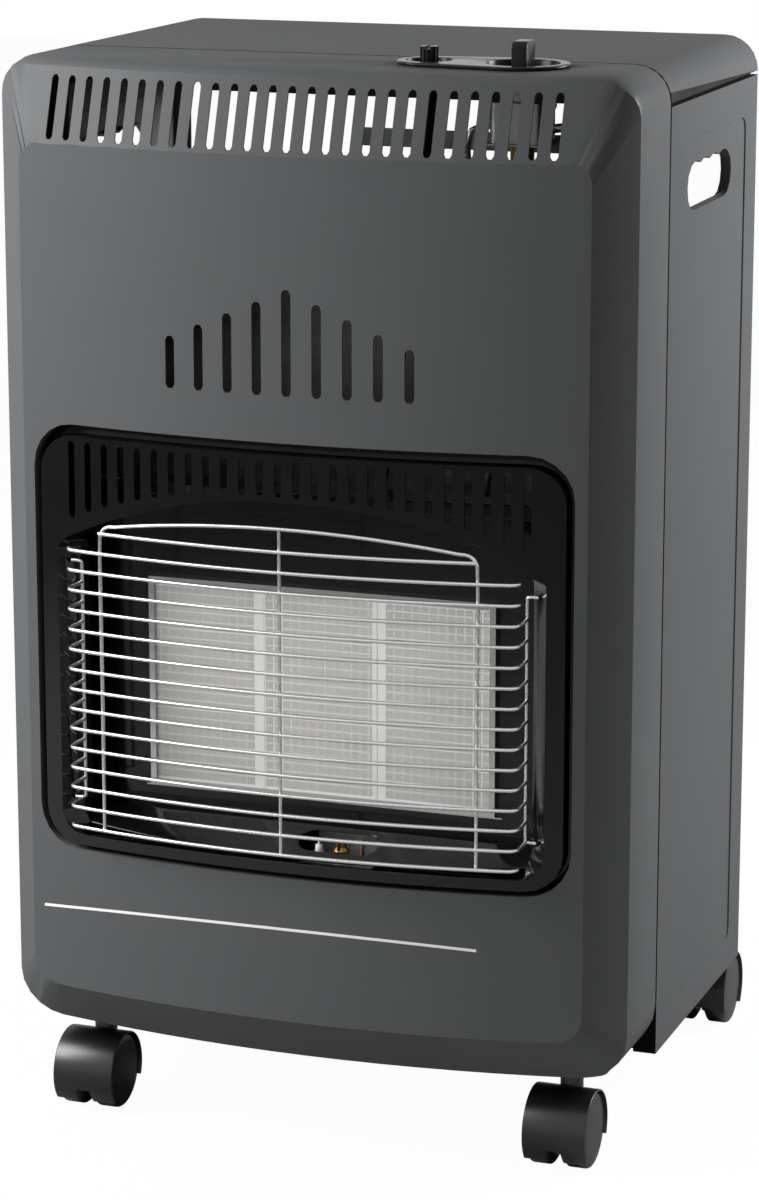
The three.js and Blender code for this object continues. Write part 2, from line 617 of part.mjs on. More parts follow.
// Rounded rectangles one behind the other, which follow the bow and carry the front's bevels and walls.
function frontLoops(inset) {
  const middle = (CABINET_TOP + SHELL_BOTTOM) / 2;
  const top = sideProfile([0, BAND_START - middle], [BAND_DEPTH, BAND_END - middle],
    [CROWN_DEPTH, CABINET_TOP - middle], inset);
  const wallStart = BOTTOM_BEVEL_DEPTH + CROWN_DEPTH;
  const bottom = sideProfile([0, middle - SHELL_BOTTOM - BOTTOM_BEVEL_RISE],
    [BOTTOM_BEVEL_DEPTH, middle - SHELL_BOTTOM], [wallStart, middle - SHELL_BOTTOM], inset);
  const bevelEnd = bow(CREASE_HALF) + SIDE_BEVEL_DEPTH - bow(HALF);
  const sides = sideProfile([0, CREASE_HALF], [bevelEnd, HALF], [wallStart, HALF], inset);
  const radii = (face, edge, wall) => [
    face - BEVEL_LEAD * (edge - face), edge,
    ...CROWN_STEPS.map((turn) => THREE.MathUtils.lerp(edge, wall, Math.sin(turn))), wall, wall,
  ];
  const topRadii = radii(FACE_TOP_CORNER, BAND_CORNER, CROWN_CORNER);
  const bottomRadii = radii(FACE_BOTTOM_CORNER, BOTTOM_CORNER, BOTTOM_CORNER);
  const straight = CREASE_HALF * 0.8;
  const stations = 12;
  const cornerSteps = 5;
  return sides.map(([sideDepth, sideReach], k) => {
    const corner = (left, up, from) => {
      const radius = Math.max((up > 0 ? topRadii : bottomRadii)[k] - inset, 0.5);
      const [depth, reach] = up > 0 ? top[k] : bottom[k];
      const round = arc(left * (sideReach - radius), middle + up * (reach - radius), radius, from, from + 90,
        cornerSteps);
      return round.map(([x, z], i) => {
        const angle = THREE.MathUtils.degToRad(from + (90 * i) / cornerSteps);
        return [x, sideDepth + (depth - sideDepth) * Math.sin(angle) ** 2 + bow(x), z];
      });
    };
    const edge = ([depth, reach], up) => Array.from({ length: stations + 1 }, (_, i) => {
      const x = up * straight * (1 - (2 * i) / stations);
      return [x, depth + bow(x), middle + up * reach];
    });
    return [
      ...edge(bottom[k], -1), ...corner(1, -1, 270), ...corner(1, 1, 0),
      ...edge(top[k], 1), ...corner(-1, 1, 90), ...corner(-1, -1, 180),
    ];
  });
}

// The solid form of the front, drawn in by an inset and closed at the given rear plane.
const frontForm = (inset, rear) =>
  common(
    bowed(box2(inset, 0, SEAM_Y * 2, CABINET_TOP + 10), HALF + 2),
    lofted(frontLoops(inset)),
    block(-HALF - 5, -60, 0, HALF + 5, rear, CABINET_TOP + 10));

const slot = (x, bottom, top, width, near, far) =>
  prism("y", stadium(x, (bottom + top) / 2, width, top - bottom, 3), near, far);

const across = (count, pitch, i) => (i - (count - 1) / 2) * pitch;

function ventSlots() {
  return Array.from({ length: VENT_COUNT }, (_, i) =>
    slot(across(VENT_COUNT, VENT_PITCH, i), VENT_BOTTOM, VENT_TOP, VENT_WIDTH, -5, CROWN_DEPTH + FRONT_BOW));
}

function chevronSlots() {
  return Array.from({ length: CHEVRON_COUNT }, (_, i) => {
    const stepsOut = Math.abs(i - (CHEVRON_COUNT - 1) / 2);
    return slot(across(CHEVRON_COUNT, CHEVRON_PITCH, i), CHEVRON_BOTTOM,
      CHEVRON_PEAK - CHEVRON_STEP * stepsOut, CHEVRON_WIDTH, -5, FRONT_BOW);
  });
}

const windowOutline = () =>
  box2(-WINDOW_HALF, WINDOW_BOTTOM, WINDOW_HALF, WINDOW_TOP, WINDOW_CORNER, 5);

// The shell's bottom sheet stops in front of the floor pan.
const bottomOpening = () =>
  block(-BOTTOM_CORNER_X, PAN_FRONT - 1, 0, BOTTOM_CORNER_X, SEAM_Y * 2, SHELL_BOTTOM + 2 * SHEET);

const screwPlaces = () =>
  [-1, 1].flatMap((side) => SCREW_HEIGHTS.map((z) => [side * (INNER_HALF - RIM_FLANGE / 2), z]));

const screwHoles = () =>
  screwPlaces().map(([x, z]) => bar("y", [x, SEAM_Y, z], SCREW_RADIUS + RUNNING, -10, 10, 12));

function frontPanel() {
  const shell = cut(frontForm(0, SHELL_END), frontForm(SHEET, SHELL_END + 10));
  const outline = shellOutline();
  const joggle = SHELL_END - SHEET;
  const rim = cut(
    join(
      prism("y", grown(outline, -SHEET / 2), joggle, SHELL_END),
      prism("y", grown(outline, -SEAM_DEPTH), joggle, BODY_START - SEAT)),
    prism("y", grown(outline, -SHEET - RIM_FLANGE), 0, SEAM_Y * 2));
  const windowLine = windowOutline();
  const roll = cut(
    bowedPlate(grown(windowLine, SHEET), SHEET / 2, SKIRT_DEPTH - SHEET - SEAT),
    prism("y", windowLine, -20, SEAM_Y));
  const opening = prism("y", windowLine, -20, SEAM_Y);
  const wells = [[KNOB_X, KNOB_RECESS, 36], [BUTTON_X, BUTTON_RECESS, 28]].map(([x, r, sides]) =>
    bar("z", [x, CONTROL_Y, 0], r + BEZEL_WALL + SEAT, CABINET_TOP - 15, CABINET_TOP + 5, sides));
  const body = cut(join(cut(shell, opening), rim, roll), bottomOpening(), ...ventSlots(), ...chevronSlots(),
    ...wells, ...screwHoles());
  return mesh("front_panel", body, ANTHRACITE);
}

// ---------- rear of the cabinet ----------
function topCover() {
  const outer = rounded([
    [-HALF, SIDE_TOP + SEAM_GAP],
    [HALF, SIDE_TOP + SEAM_GAP],
    [HALF, CABINET_TOP, CROWN_CORNER],
    [-HALF, CABINET_TOP, CROWN_CORNER],
  ], 6);
  const inner = rounded([
    [-INNER_HALF, SIDE_TOP - 5],
    [INNER_HALF, SIDE_TOP - 5],
    [INNER_HALF, CABINET_TOP - SHEET, CROWN_CORNER - SHEET],
    [-INNER_HALF, CABINET_TOP - SHEET, CROWN_CORNER - SHEET],
  ], 6);
  const arch = cut(
    prism("y", outer, BODY_START, CABINET_REAR),
    prism("y", inner, BODY_START - 5, CABINET_REAR + 5));
  const frontLip = block(-INNER_HALF + CROWN_CORNER, BODY_START, CABINET_TOP - COVER_LIP,
    INNER_HALF - CROWN_CORNER, BODY_START + SHEET, CABINET_TOP - SHEET / 2);
  const rearLip = block(-INNER_HALF + CROWN_CORNER, CABINET_REAR - SHEET, CABINET_TOP - COVER_APRON,
    INNER_HALF - CROWN_CORNER, CABINET_REAR, CABINET_TOP - SHEET / 2);
  const rests = [-1, 1].flatMap((side) => {
    const ledge = (reach, low, high) => block(
      Math.min(side * reach, side * (INNER_HALF - REAR_FLANGE)), BODY_START + 4, low,
      Math.max(side * reach, side * (INNER_HALF - REAR_FLANGE)), CABINET_REAR - 4, high);
    return [
      ledge(HALF - SHEET / 2, SIDE_TOP + SEAM_GAP, SIDE_TOP + SEAM_GAP + SHEET),
      ledge(HALF - SEAM_DEPTH, SIDE_TOP + SEAT, SIDE_TOP + SEAM_GAP + SHEET / 2),
    ];
  });
  return mesh("top_cover", join(arch, frontLip, rearLip, ...rests), ANTHRACITE);
}

// The hand hole's outline in Y and Z, with finger scallops along its upper edge.
function handHole() {
  const end = HAND_HOLE_HEIGHT / 2;
  const top = HAND_HOLE_BOTTOM + HAND_HOLE_HEIGHT;
  const rear = HAND_HOLE_FRONT + HAND_HOLE_LENGTH;
  const points = [
    ...arc(HAND_HOLE_FRONT + end, HAND_HOLE_BOTTOM + end, end, 150, 270, 4),
    ...arc(rear - end, HAND_HOLE_BOTTOM + end, end, -90, 30, 4),
  ];
  const run = HAND_HOLE_LENGTH - HAND_HOLE_HEIGHT * 0.6;
  const perScallop = 3;
  for (let k = 0; k <= HAND_SCALLOPS * perScallop; k++) {
    const share = k / (HAND_SCALLOPS * perScallop);
    const dip = HAND_SCALLOP_DEPTH * Math.abs(Math.sin(Math.PI * HAND_SCALLOPS * share));
    points.push([rear - HAND_HOLE_HEIGHT * 0.3 - run * share, top - HAND_SCALLOP_DEPTH + dip]);
  }
  return anticlockwise(points);
}

function sidePanel(name, side) {
  const range = (a, b) => [Math.min(side * a, side * b), Math.max(side * a, side * b)];
  const slab = (a, b, y0, z0, y1, z1) => {
    const [x0, x1] = range(a, b);
    return block(x0, y0, z0, x1, y1, z1);
  };
  const frontEdge = INNER_HALF - RIM_FLANGE;
  const rearEdge = INNER_HALF - REAR_FLANGE;
  const folded = BODY_START + SHEET;
  const tray = cut(
    slab(frontEdge, HALF, BODY_START, BODY_BOTTOM, CABINET_REAR, SIDE_TOP),
    slab(frontEdge - 1, INNER_HALF, folded, BODY_BOTTOM + SHEET, CABINET_REAR - SHEET, SIDE_TOP - SHEET),
    slab(frontEdge - 1, rearEdge, folded, BODY_BOTTOM - 1, CABINET_REAR + 1, SIDE_TOP + 1));
  const field = box2(FIELD_FRONT, FIELD_BOTTOM, FIELD_REAR, FIELD_TOP, FIELD_CORNER, 3);
  const pressedIn = prism("x", field, ...range(HALF - FIELD_STEP, HALF + 1));
  const backing = prism("x", grown(field, SHEET), ...range(INNER_HALF - FIELD_STEP, HALF - SHEET / 2));
  const hole = handHole();
  const lipStart = HALF - FIELD_STEP - SHEET / 2;
  const lip = cut(
    prism("x", grown(hole, SHEET), ...range(lipStart + SHEET / 2 - HAND_HOLE_LIP, lipStart)),
    prism("x", hole, ...range(HALF - 20, HALF + 5)));
  const body = cut(join(cut(join(tray, backing), pressedIn), lip),
    prism("x", hole, ...range(HALF - 20, HALF + 5)), ...screwHoles());
  return mesh(name, body, ANTHRACITE);
}

function flangeScrew(name, [x, z]) {
  const seat = BODY_START + SHEET + SEAT;
  const shank = bar("y", [x, 0, z], SCREW_RADIUS, seat - SCREW_LENGTH, seat + 0.5, 12);
  const head = bar("y", [x, 0, z], SCREW_HEAD, seat, seat + 2.4, 12);
  const driverSlot = block(x - SCREW_HEAD, seat + 1.4, z - 0.5, x + SCREW_HEAD, seat + 3, z + 0.5);
  return mesh(name, cut(join(shank, head), driverSlot), GALVANISED);
}

// ---------- window surround ----------
// The surround's opening: straight sill and sides, rounded corners and the arch above.
function openingOutline() {
  const steps = 12;
  const shoulder = OPENING_HALF - ARCH_CORNER - 2;
  const corners = [
    [-OPENING_HALF, OPENING_BOTTOM, 16],
    [OPENING_HALF, OPENING_BOTTOM, 16],
    [OPENING_HALF, ARCH_SPRING, ARCH_CORNER],
  ];
  for (let k = 0; k <= steps; k++) {
    const x = shoulder - (2 * shoulder * k) / steps;
    corners.push([x, archHeight(x)]);
  }
  corners.push([-OPENING_HALF, ARCH_SPRING, ARCH_CORNER]);
  return rounded(corners, 4);
}

// The lip folded back round the opening: its sides lean inwards behind the face, then run straight back.
function openingLip(opening) {
  const level = (outline, depth, taper) =>
    outline.map(([x, z]) => [x * (1 - taper / OPENING_HALF), depth + bow(x), z]);
  const slanted = grown(opening, SHEET * Math.SQRT2);
  const outside = grown(opening, SHEET);
  const faceEdge = 0.2;
  return lofted([
    level(opening, faceEdge, 0),
    level(opening, LIP_TAPER, LIP_TAPER),
    level(opening, LIP_DEPTH, LIP_TAPER),
    level(outside, LIP_DEPTH, LIP_TAPER),
    level(outside, LIP_TAPER + SHEET / 2, LIP_TAPER),
    level(slanted, faceEdge, 0),
  ], true);
}

const surroundOutline = () =>
  box2(-SURROUND_HALF, SURROUND_BOTTOM, SURROUND_HALF, SURROUND_TOP,
    WINDOW_CORNER - SURROUND_GAP_SIDE, 5);

function windowSurround() {
  const outline = surroundOutline();
  const opening = openingOutline();
  const face = bowedPlate(outline, 0, SHEET);
  const skirt = cut(
    bowedPlate(outline, 0.2, SKIRT_DEPTH),
    prism("y", grown(outline, -SHEET), -20, SEAM_Y));
  const flange = cut(
    bowedPlate(grown(outline, SURROUND_FLANGE), SKIRT_DEPTH - SHEET, SKIRT_DEPTH),
    prism("y", grown(outline, -SHEET / 2), -20, SEAM_Y));
  const lip = common(openingLip(opening), prism("x", grown(fireboxProfile(), -SEAT), -HALF, HALF));
  const hookHoles = [GUARD_HOOK_TOP, GUARD_HOOK_BOTTOM].map((z) =>
    bar("x", [0, GUARD_RETURN, z], GUARD_POST + SEAT, -OPENING_HALF - 3, OPENING_HALF + 3, 10));
  const slots = Array.from({ length: GRILLE_COUNT }, (_, i) => {
    const x = across(GRILLE_COUNT, GRILLE_PITCH, i);
    const web = GRILLE_OVER_ARCH * Math.abs(x / (across(GRILLE_COUNT, GRILLE_PITCH, 0)));
    return slot(x, archHeight(x) + SHEET + 0.8 + web, GRILLE_TOP, GRILLE_WIDTH, -5, FRONT_BOW + SHEET * 2);
  });
  const opened = cut(join(face, skirt, flange), prism("y", opening, -20, SEAM_Y));
  const body = cut(join(opened, lip), ...hookHoles, ...slots);
  return mesh("window_surround", body, ENAMEL);
}

// ---------- firebox ----------
const fireboxProfile = () =>
  anticlockwise([
    [-30, OPENING_BOTTOM - SHEET - SEAT],
    [LIP_DEPTH / 2, OPENING_BOTTOM - SHEET - SEAT],
    [FLOOR_SLOPE_END, FIREBOX_FLOOR],
    [FIREBOX_BACK, FIREBOX_FLOOR],
    [FIREBOX_BACK, FIREBOX_BACK_TOP],
    [CEILING_SLOPE_START, FIREBOX_CEILING],
    [-30, FIREBOX_CEILING],
  ]);

function firebox() {
  const cavity = fireboxProfile();
  const outside = prism("x", grown(cavity, SHEET), -FIREBOX_HALF - SHEET, FIREBOX_HALF + SHEET);
  const inside = prism("x", cavity, -FIREBOX_HALF, FIREBOX_HALF);
  const skirt = block(-FIREBOX_HALF, FIREBOX_BACK, SKIRT_BOTTOM, FIREBOX_HALF, FIREBOX_BACK + SHEET,
    FIREBOX_FLOOR + 5);
  const behindSurround = bowed([
    [SKIRT_DEPTH + SEAT, 0], [SEAM_Y, 0], [SEAM_Y, CABINET_TOP], [SKIRT_DEPTH + SEAT, CABINET_TOP]], HALF);
  const burnerHole = block(-PLENUM_HALF - SEAT, FIREBOX_BACK - 5, PLENUM_LOW - SEAT,
    PLENUM_HALF + SEAT, FIREBOX_BACK + 5, PLENUM_HIGH + SEAT);
  const slopeMiddle = (LIP_DEPTH / 2 + FLOOR_SLOPE_END) / 2 + 3;
  const pilotHole = prism("z", stadium(PILOT_X, slopeMiddle, PILOT_HOLE_LENGTH, PILOT_HOLE_WIDTH, 6),
    SKIRT_BOTTOM, FIREBOX_FLOOR + 3);
  const body = cut(common(join(cut(outside, inside), skirt), behindSurround), burnerHole, pilotHole);
  return mesh("firebox", body, ENAMEL);
}

// ---------- burner ----------
function burnerFrame() {
  const outer = box2(-BURNER_HALF, BURNER_BOTTOM, BURNER_HALF, BURNER_TOP, FRAME_SHEET, 2);
  const shell = cut(
    prism("y", outer, FRAME_FACE, FIREBOX_BACK - SEAT),
    prism("y", grown(outer, -FRAME_SHEET), FRAME_FACE + FRAME_SHEET, FIREBOX_BACK + 5));
  const window = box2(-BURNER_HALF + FRAME_BORDER, BURNER_BOTTOM + FRAME_BORDER,
    BURNER_HALF - FRAME_BORDER, BURNER_TOP - FRAME_BORDER);
  return mesh("burner_frame", cut(shell, prism("y", window, 0, SEAM_Y)), POLISHED);
}

function burnerPlenum() {
  const tray = cut(
    block(-PLENUM_HALF, PLAQUE_FRONT, PLENUM_LOW, PLENUM_HALF, PLENUM_BACK, PLENUM_HIGH),
    block(-PLENUM_HALF + PLENUM_SHEET, 0, PLENUM_LOW + PLENUM_SHEET,
      PLENUM_HALF - PLENUM_SHEET, PLENUM_BACK - PLENUM_SHEET, PLENUM_HIGH - PLENUM_SHEET));
  const flangeY = FIREBOX_BACK + SHEET + SEAT;
  const flange = cut(
    block(-PLENUM_HALF - PLENUM_FLANGE, flangeY, PLENUM_LOW - PLENUM_FLANGE,
      PLENUM_HALF + PLENUM_FLANGE, flangeY + PLENUM_SHEET, PLENUM_HIGH + PLENUM_FLANGE),
    block(-PLENUM_HALF + 0.5, 0, PLENUM_LOW + 0.5, PLENUM_HALF - 0.5, SEAM_Y, PLENUM_HIGH - 0.5));
  const throat = MIXER_RADIUS - MIXER_WALL;
  const inlet = bar("x", [0, MIXER_Y, MIXER_Z], throat, PLENUM_HALF - 10, PLENUM_HALF + 5, 20);
  return mesh("burner_plenum", cut(join(tray, flange), inlet), GALVANISED);
}

// Three ceramic plaques fill the plenum's mouth side by side.
function ceramicPlaques() {
  const inside = PLENUM_HALF - PLENUM_SHEET - SEAT;
  const width = (2 * inside - (PLAQUE_COUNT - 1) * PLAQUE_JOINT) / PLAQUE_COUNT;
  return Array.from({ length: PLAQUE_COUNT }, (_, i) => {
    const left = -inside + i * (width + PLAQUE_JOINT);
    const body = block(left, PLAQUE_FRONT, PLENUM_LOW + PLENUM_SHEET + SEAT,
      left + width, PLAQUE_FRONT + PLAQUE_THICKNESS, PLENUM_HIGH - PLENUM_SHEET - SEAT);
    return mesh("ceramic_plaque_" + (i + 1), body, CERAMIC);
  });
}

// The mixing tube draws air in through two side windows between the injector and its throat.
function mixingTube() {
  const start = PLENUM_HALF + SEAT;
  const end = start + MIXER_LENGTH;
  const r = MIXER_RADIUS;
  const mouth = MIXER_MOUTH;
  const w = MIXER_WALL;
  const shape = lathe("x", [0, MIXER_Y, MIXER_Z], [
    [r, start], [r, start + 18], [mouth, start + 34], [mouth, end],
    [INJECTOR_RADIUS + SEAT, end], [INJECTOR_RADIUS + SEAT, end - w], [mouth - w, end - w],
    [mouth - w, start + 34], [r - w, start + 18], [r - w, start],
  ], 16);
  const windows = block(end - 20, MIXER_Y - mouth / 2, MIXER_Z - 2 * mouth, end - 8, MIXER_Y + mouth / 2,
    MIXER_Z + 2 * mouth);
  return mesh("mixing_tube", cut(shape, windows), ALUMINIUM);
}

const injectorEnd = PLENUM_HALF + SEAT + MIXER_LENGTH;

function injector() {
  const centre = [0, MIXER_Y, MIXER_Z];
  const nozzle = lathe("x", centre, [
    [0.8, injectorEnd - 9], [2, injectorEnd - 9], [INJECTOR_RADIUS, injectorEnd - 5],
    [INJECTOR_RADIUS, injectorEnd + 1], [0.8, injectorEnd + 1],
  ], 16);
  const nut = bar("x", centre, 7, injectorEnd + SEAT, injectorEnd + 9, 6);
  const bore = bar("x", centre, GAS_TUBE + SEAT, injectorEnd + 2, injectorEnd + 12, 12);
  return mesh("injector", cut(join(nozzle, nut), bore), BRASS);
}

// Polished quarter-round sheet on the firebox floor, just below the plaques.
function lowerReflector() {
  const steps = 7;
  const arcPoints = (radius) => Array.from({ length: steps + 1 }, (_, k) => {
    const angle = Math.PI / 2 + (k / steps) * (Math.PI / 2);
    return [FIREBOX_BACK - 2 + radius * Math.cos(angle), FIREBOX_FLOOR + SEAT + radius * Math.sin(angle)];
  });
  const outline = anticlockwise([...arcPoints(LIP_ROLL - SEAT - FRAME_SHEET),
    ...arcPoints(LIP_ROLL - SEAT - FRAME_SHEET * 2).reverse()]);
  return mesh("lower_reflector", prism("x", outline, -BURNER_HALF - 4, BURNER_HALF + 4), POLISHED);
}

// ---------- guard ----------
const guardY = (x) => GUARD_FRONT + GUARD_BOW * (x / GUARD_HALF) ** 2;

// One long wire, bowed forward. Between the hooks its ends are bent back to the upright wires.
function longWire(z) {
  const turn = 5;
  const held = z > GUARD_HOOK_BOTTOM - GUARD_PITCH / 2 && z < GUARD_HOOK_TOP - GUARD_PITCH / 2;
  const bends = (side) => [
    ...(held ? [[side * GUARD_RETURN_HALF, GUARD_RETURN + GUARD_POST / 2, z]] : []),
    [side * (GUARD_HALF - 0.3), turn, z],
    [side * (GUARD_HALF - 3.5), guardY(GUARD_HALF - 3.5), z],
  ];
  const middle = [-0.8, -0.5, -0.17, 0.17, 0.5, 0.8].map((share) =>
    [share * GUARD_HALF, guardY(share * GUARD_HALF), z]);
  return wire([...bends(-1), ...middle, ...bends(1).reverse()], GUARD_WIRE, 4, 1);
}

function wireGuard() {
  const behind = GUARD_WIRE + GUARD_POST - SEAT;
  const long = Array.from({ length: GUARD_COUNT }, (_, k) => longWire(GUARD_BOTTOM + k * GUARD_PITCH));
  const shortZ = GUARD_BOTTOM + GUARD_COUNT * GUARD_PITCH;
  const shares = [-1, -0.6, -0.2, 0.2, 0.6, 1];
  const shortWire = wire(shares.map((s) => [s * GUARD_FRAME_HALF, guardY(s * GUARD_FRAME_HALF), shortZ]),
    GUARD_WIRE, 4, 1);
  const archPoint = (share, z) => {
    const x = share * GUARD_FRAME_HALF;
    return [x, guardY(x) + behind, z];
  };
  const rise = GUARD_ARCH_TOP - GUARD_ARCH_SHOULDER;
  const frame = wire([
    archPoint(-1, GUARD_BOTTOM), archPoint(-1, GUARD_ARCH_SHOULDER - 6),
    archPoint(-0.97, GUARD_ARCH_SHOULDER), archPoint(-0.6, GUARD_ARCH_SHOULDER + rise * 0.64),
    archPoint(0, GUARD_ARCH_TOP), archPoint(0.6, GUARD_ARCH_SHOULDER + rise * 0.64),
    archPoint(0.97, GUARD_ARCH_SHOULDER), archPoint(1, GUARD_ARCH_SHOULDER - 6),
    archPoint(1, GUARD_BOTTOM),
  ], GUARD_WIRE, 4, 2);
  const post = bar("z", [0, GUARD_FRONT + behind, 0], GUARD_POST, GUARD_BOTTOM - GUARD_WIRE / 2,
    GUARD_ARCH_TOP + GUARD_WIRE / 4, 5);
  const uprights = [-1, 1].map((side) =>
    bar("z", [side * GUARD_RETURN_HALF, GUARD_RETURN, 0], GUARD_POST, GUARD_HOOK_BOTTOM - GUARD_POST / 2,
      GUARD_HOOK_TOP + GUARD_POST / 2, 5));
  const hooks = [-1, 1].flatMap((side) =>
    [GUARD_HOOK_TOP, GUARD_HOOK_BOTTOM].map((z) => {
      const ends = [side * GUARD_RETURN_HALF, side * HOOK_END];
      return bar("x", [0, GUARD_RETURN, z], GUARD_POST, Math.min(...ends), Math.max(...ends), 5);
    }));
  return mesh("wire_guard", join(frame, post, shortWire, ...uprights, ...hooks, ...long), PLATED);
}

// ---------- pilot assembly ----------
const PILOT_PLATE = SKIRT_BOTTOM + 2;
const PILOT_Y = 36;

function pilotBracket() {
  const half = PILOT_HOLE_LENGTH / 2 - 3;
  const rear = FIREBOX_BACK - SEAT;
  const plate = block(PILOT_X - half, PILOT_Y - 9, PILOT_PLATE, PILOT_X + half, rear, PILOT_PLATE + 1.5);
  const legTop = FIREBOX_FLOOR - SHEET - SEAT;
  const leg = block(PILOT_X - half, rear - 1.5, PILOT_PLATE, PILOT_X + half, rear, legTop);
  const holes = [[PILOT_X - 15, 2.5], [PILOT_X, 3], [PILOT_X + 14, 2.2]].map(([x, r]) =>
    bar("z", [x, PILOT_Y, 0], r + SEAT, PILOT_PLATE - 5, PILOT_PLATE + 5, 12));
  return mesh("pilot_bracket", cut(join(plate, leg), ...holes), GALVANISED);
}

function pilotBurner() {
  const seat = PILOT_PLATE + 1.5 + SEAT;
  const centre = [PILOT_X, PILOT_Y, 0];
  const body = lathe("z", centre, [
    [0, PILOT_PLATE - 7], [3, PILOT_PLATE - 7], [3, seat], [5.5, seat], [5.5, seat + 7], [3.6, seat + 9],
    [3.6, seat + 11.5], [0, seat + 11.5],
  ], 16);
  const flame = block(PILOT_X - 1.2, PILOT_Y - 8, seat + 7.5, PILOT_X + 1.2, PILOT_Y + 8, seat + 13);
  const inlet = bar("z", centre, PILOT_TUBE + SEAT, PILOT_PLATE - 8, PILOT_PLATE - 3, 12);
  return mesh("pilot_burner", cut(body, flame, inlet), BRASS);
}

function sparkElectrode() {
  const x = PILOT_X - 15;
  const seat = PILOT_PLATE + 1.5 + SEAT;
  const insulator = lathe("z", [x, PILOT_Y, 0], [
    [0, PILOT_PLATE - 8], [2.5, PILOT_PLATE - 8], [2.5, seat], [3.4, seat], [3.4, seat + 4], [2.4, seat + 6],
    [2.4, seat + 9], [0, seat + 9],
  ], 14);
  const tip = wire([[x, PILOT_Y, seat + 8], [x, PILOT_Y, seat + 11], [x + 3, PILOT_Y, seat + 13],
    [x + 9, PILOT_Y, seat + 13]], 0.8, 6, 2);
  return mesh("spark_electrode", join(insulator, tip), PORCELAIN);
}

// ---------- leads and tubes ----------
const leadY = (PLENUM_BACK + SHIELD_Y) / 2;

function thermocouple() {
  const x = PILOT_X + 14;
  const seat = PILOT_PLATE + 1.5 + SEAT;
  const probe = lathe("z", [x, PILOT_Y, 0], [
    [0, PILOT_PLATE - 8], [2.2, PILOT_PLATE - 8], [2.2, seat], [3.2, seat], [3.2, seat + 3], [1.7, seat + 4],
    [1.7, seat + 12], [0, seat + 13],
  ], 14);
  const magnetEnd = RAIL_TOP - RAIL_SHEET - SEAT - MAGNET_LENGTH;
  const lead = wire([
    [x, PILOT_Y, PILOT_PLATE - 7], [x, PILOT_Y, PILOT_PLATE - 11], [x + 1, PILOT_Y + 8, PILOT_PLATE - 18],
    [x + 8, PILOT_Y + 38, PILOT_PLATE - 16],
    [x + 24, leadY, PILOT_PLATE + 10], [x + 40, leadY, BURNER_MID], [x + 60, leadY, ARCH_TOP],
    [KNOB_X, leadY - 6, SHIELD_TOP - 40], [KNOB_X, CONTROL_Y, magnetEnd - 22],
    [KNOB_X, CONTROL_Y, magnetEnd - SEAT],
  ], LEAD, 6);
  return mesh("thermocouple", join(probe, lead), COPPER);
}

function pilotTube() {
  const x = PILOT_X;
  const side = KNOB_X - VALVE_WIDTH / 2 - SEAT;
  const z = VALVE_BOTTOM + 8;
  const tube = wire([
    [x, PILOT_Y, PILOT_PLATE - 3.4], [x, PILOT_Y, PILOT_PLATE - 8], [x, PILOT_Y, PILOT_PLATE - 14],
    [x, PILOT_Y + 12, PILOT_PLATE - 24], [x + 2, PILOT_Y + 40, PILOT_PLATE - 18],
    [x + 8, leadY, PILOT_PLATE + 10], [x + 20, leadY, BURNER_MID], [x + 40, leadY, ARCH_TOP],
    [x + 64, leadY - 6, SHIELD_TOP - 30], [side - 18, CONTROL_Y, z - 12], [side - 8, CONTROL_Y, z],
    [side, CONTROL_Y, z],
  ], PILOT_TUBE, 6);
  return mesh("pilot_gas_tube", tube, ALUMINIUM);
}

function ignitionLead() {
  const x = PILOT_X - 15;
  const lead = wire([
    [x, PILOT_Y, PILOT_PLATE - 8 - SEAT], [x, PILOT_Y, PILOT_PLATE - 13],
    [x - 1, PILOT_Y + 9, PILOT_PLATE - 21], [x - 6, PILOT_Y + 38, PILOT_PLATE - 19],
    [x - 6, leadY, PILOT_PLATE + 8], [x, leadY, BURNER_MID], [x + 20, leadY, ARCH_TOP],
    [x + 44, leadY - 8, SHIELD_TOP - 20], [BUTTON_X, CONTROL_Y, PIEZO_BOTTOM - 16],
    [BUTTON_X, CONTROL_Y, PIEZO_BOTTOM - SEAT],
  ], LEAD, 6);
  return mesh("ignition_lead", lead, RUBBER);
}

function burnerTube() {
  const side = KNOB_X + VALVE_WIDTH / 2 + SEAT;
  const z = VALVE_BOTTOM + 8;
  const start = injectorEnd + 2 + SEAT;
  const bend = start + 20;
  const tube = wire([
    [start, MIXER_Y, MIXER_Z], [start + 6, MIXER_Y, MIXER_Z], [start + 12, MIXER_Y, MIXER_Z],
    [bend, MIXER_Y, MIXER_Z + 10],
    [bend, MIXER_Y, MIXER_Z + 60], [bend, MIXER_Y, ARCH_TOP], [bend, CONTROL_Y + 6, SHIELD_TOP],
    [side + 22, CONTROL_Y, z - 18], [side + 12, CONTROL_Y, z], [side, CONTROL_Y, z],
  ], GAS_TUBE, 8);
  return mesh("burner_gas_tube", tube, ALUMINIUM);
}

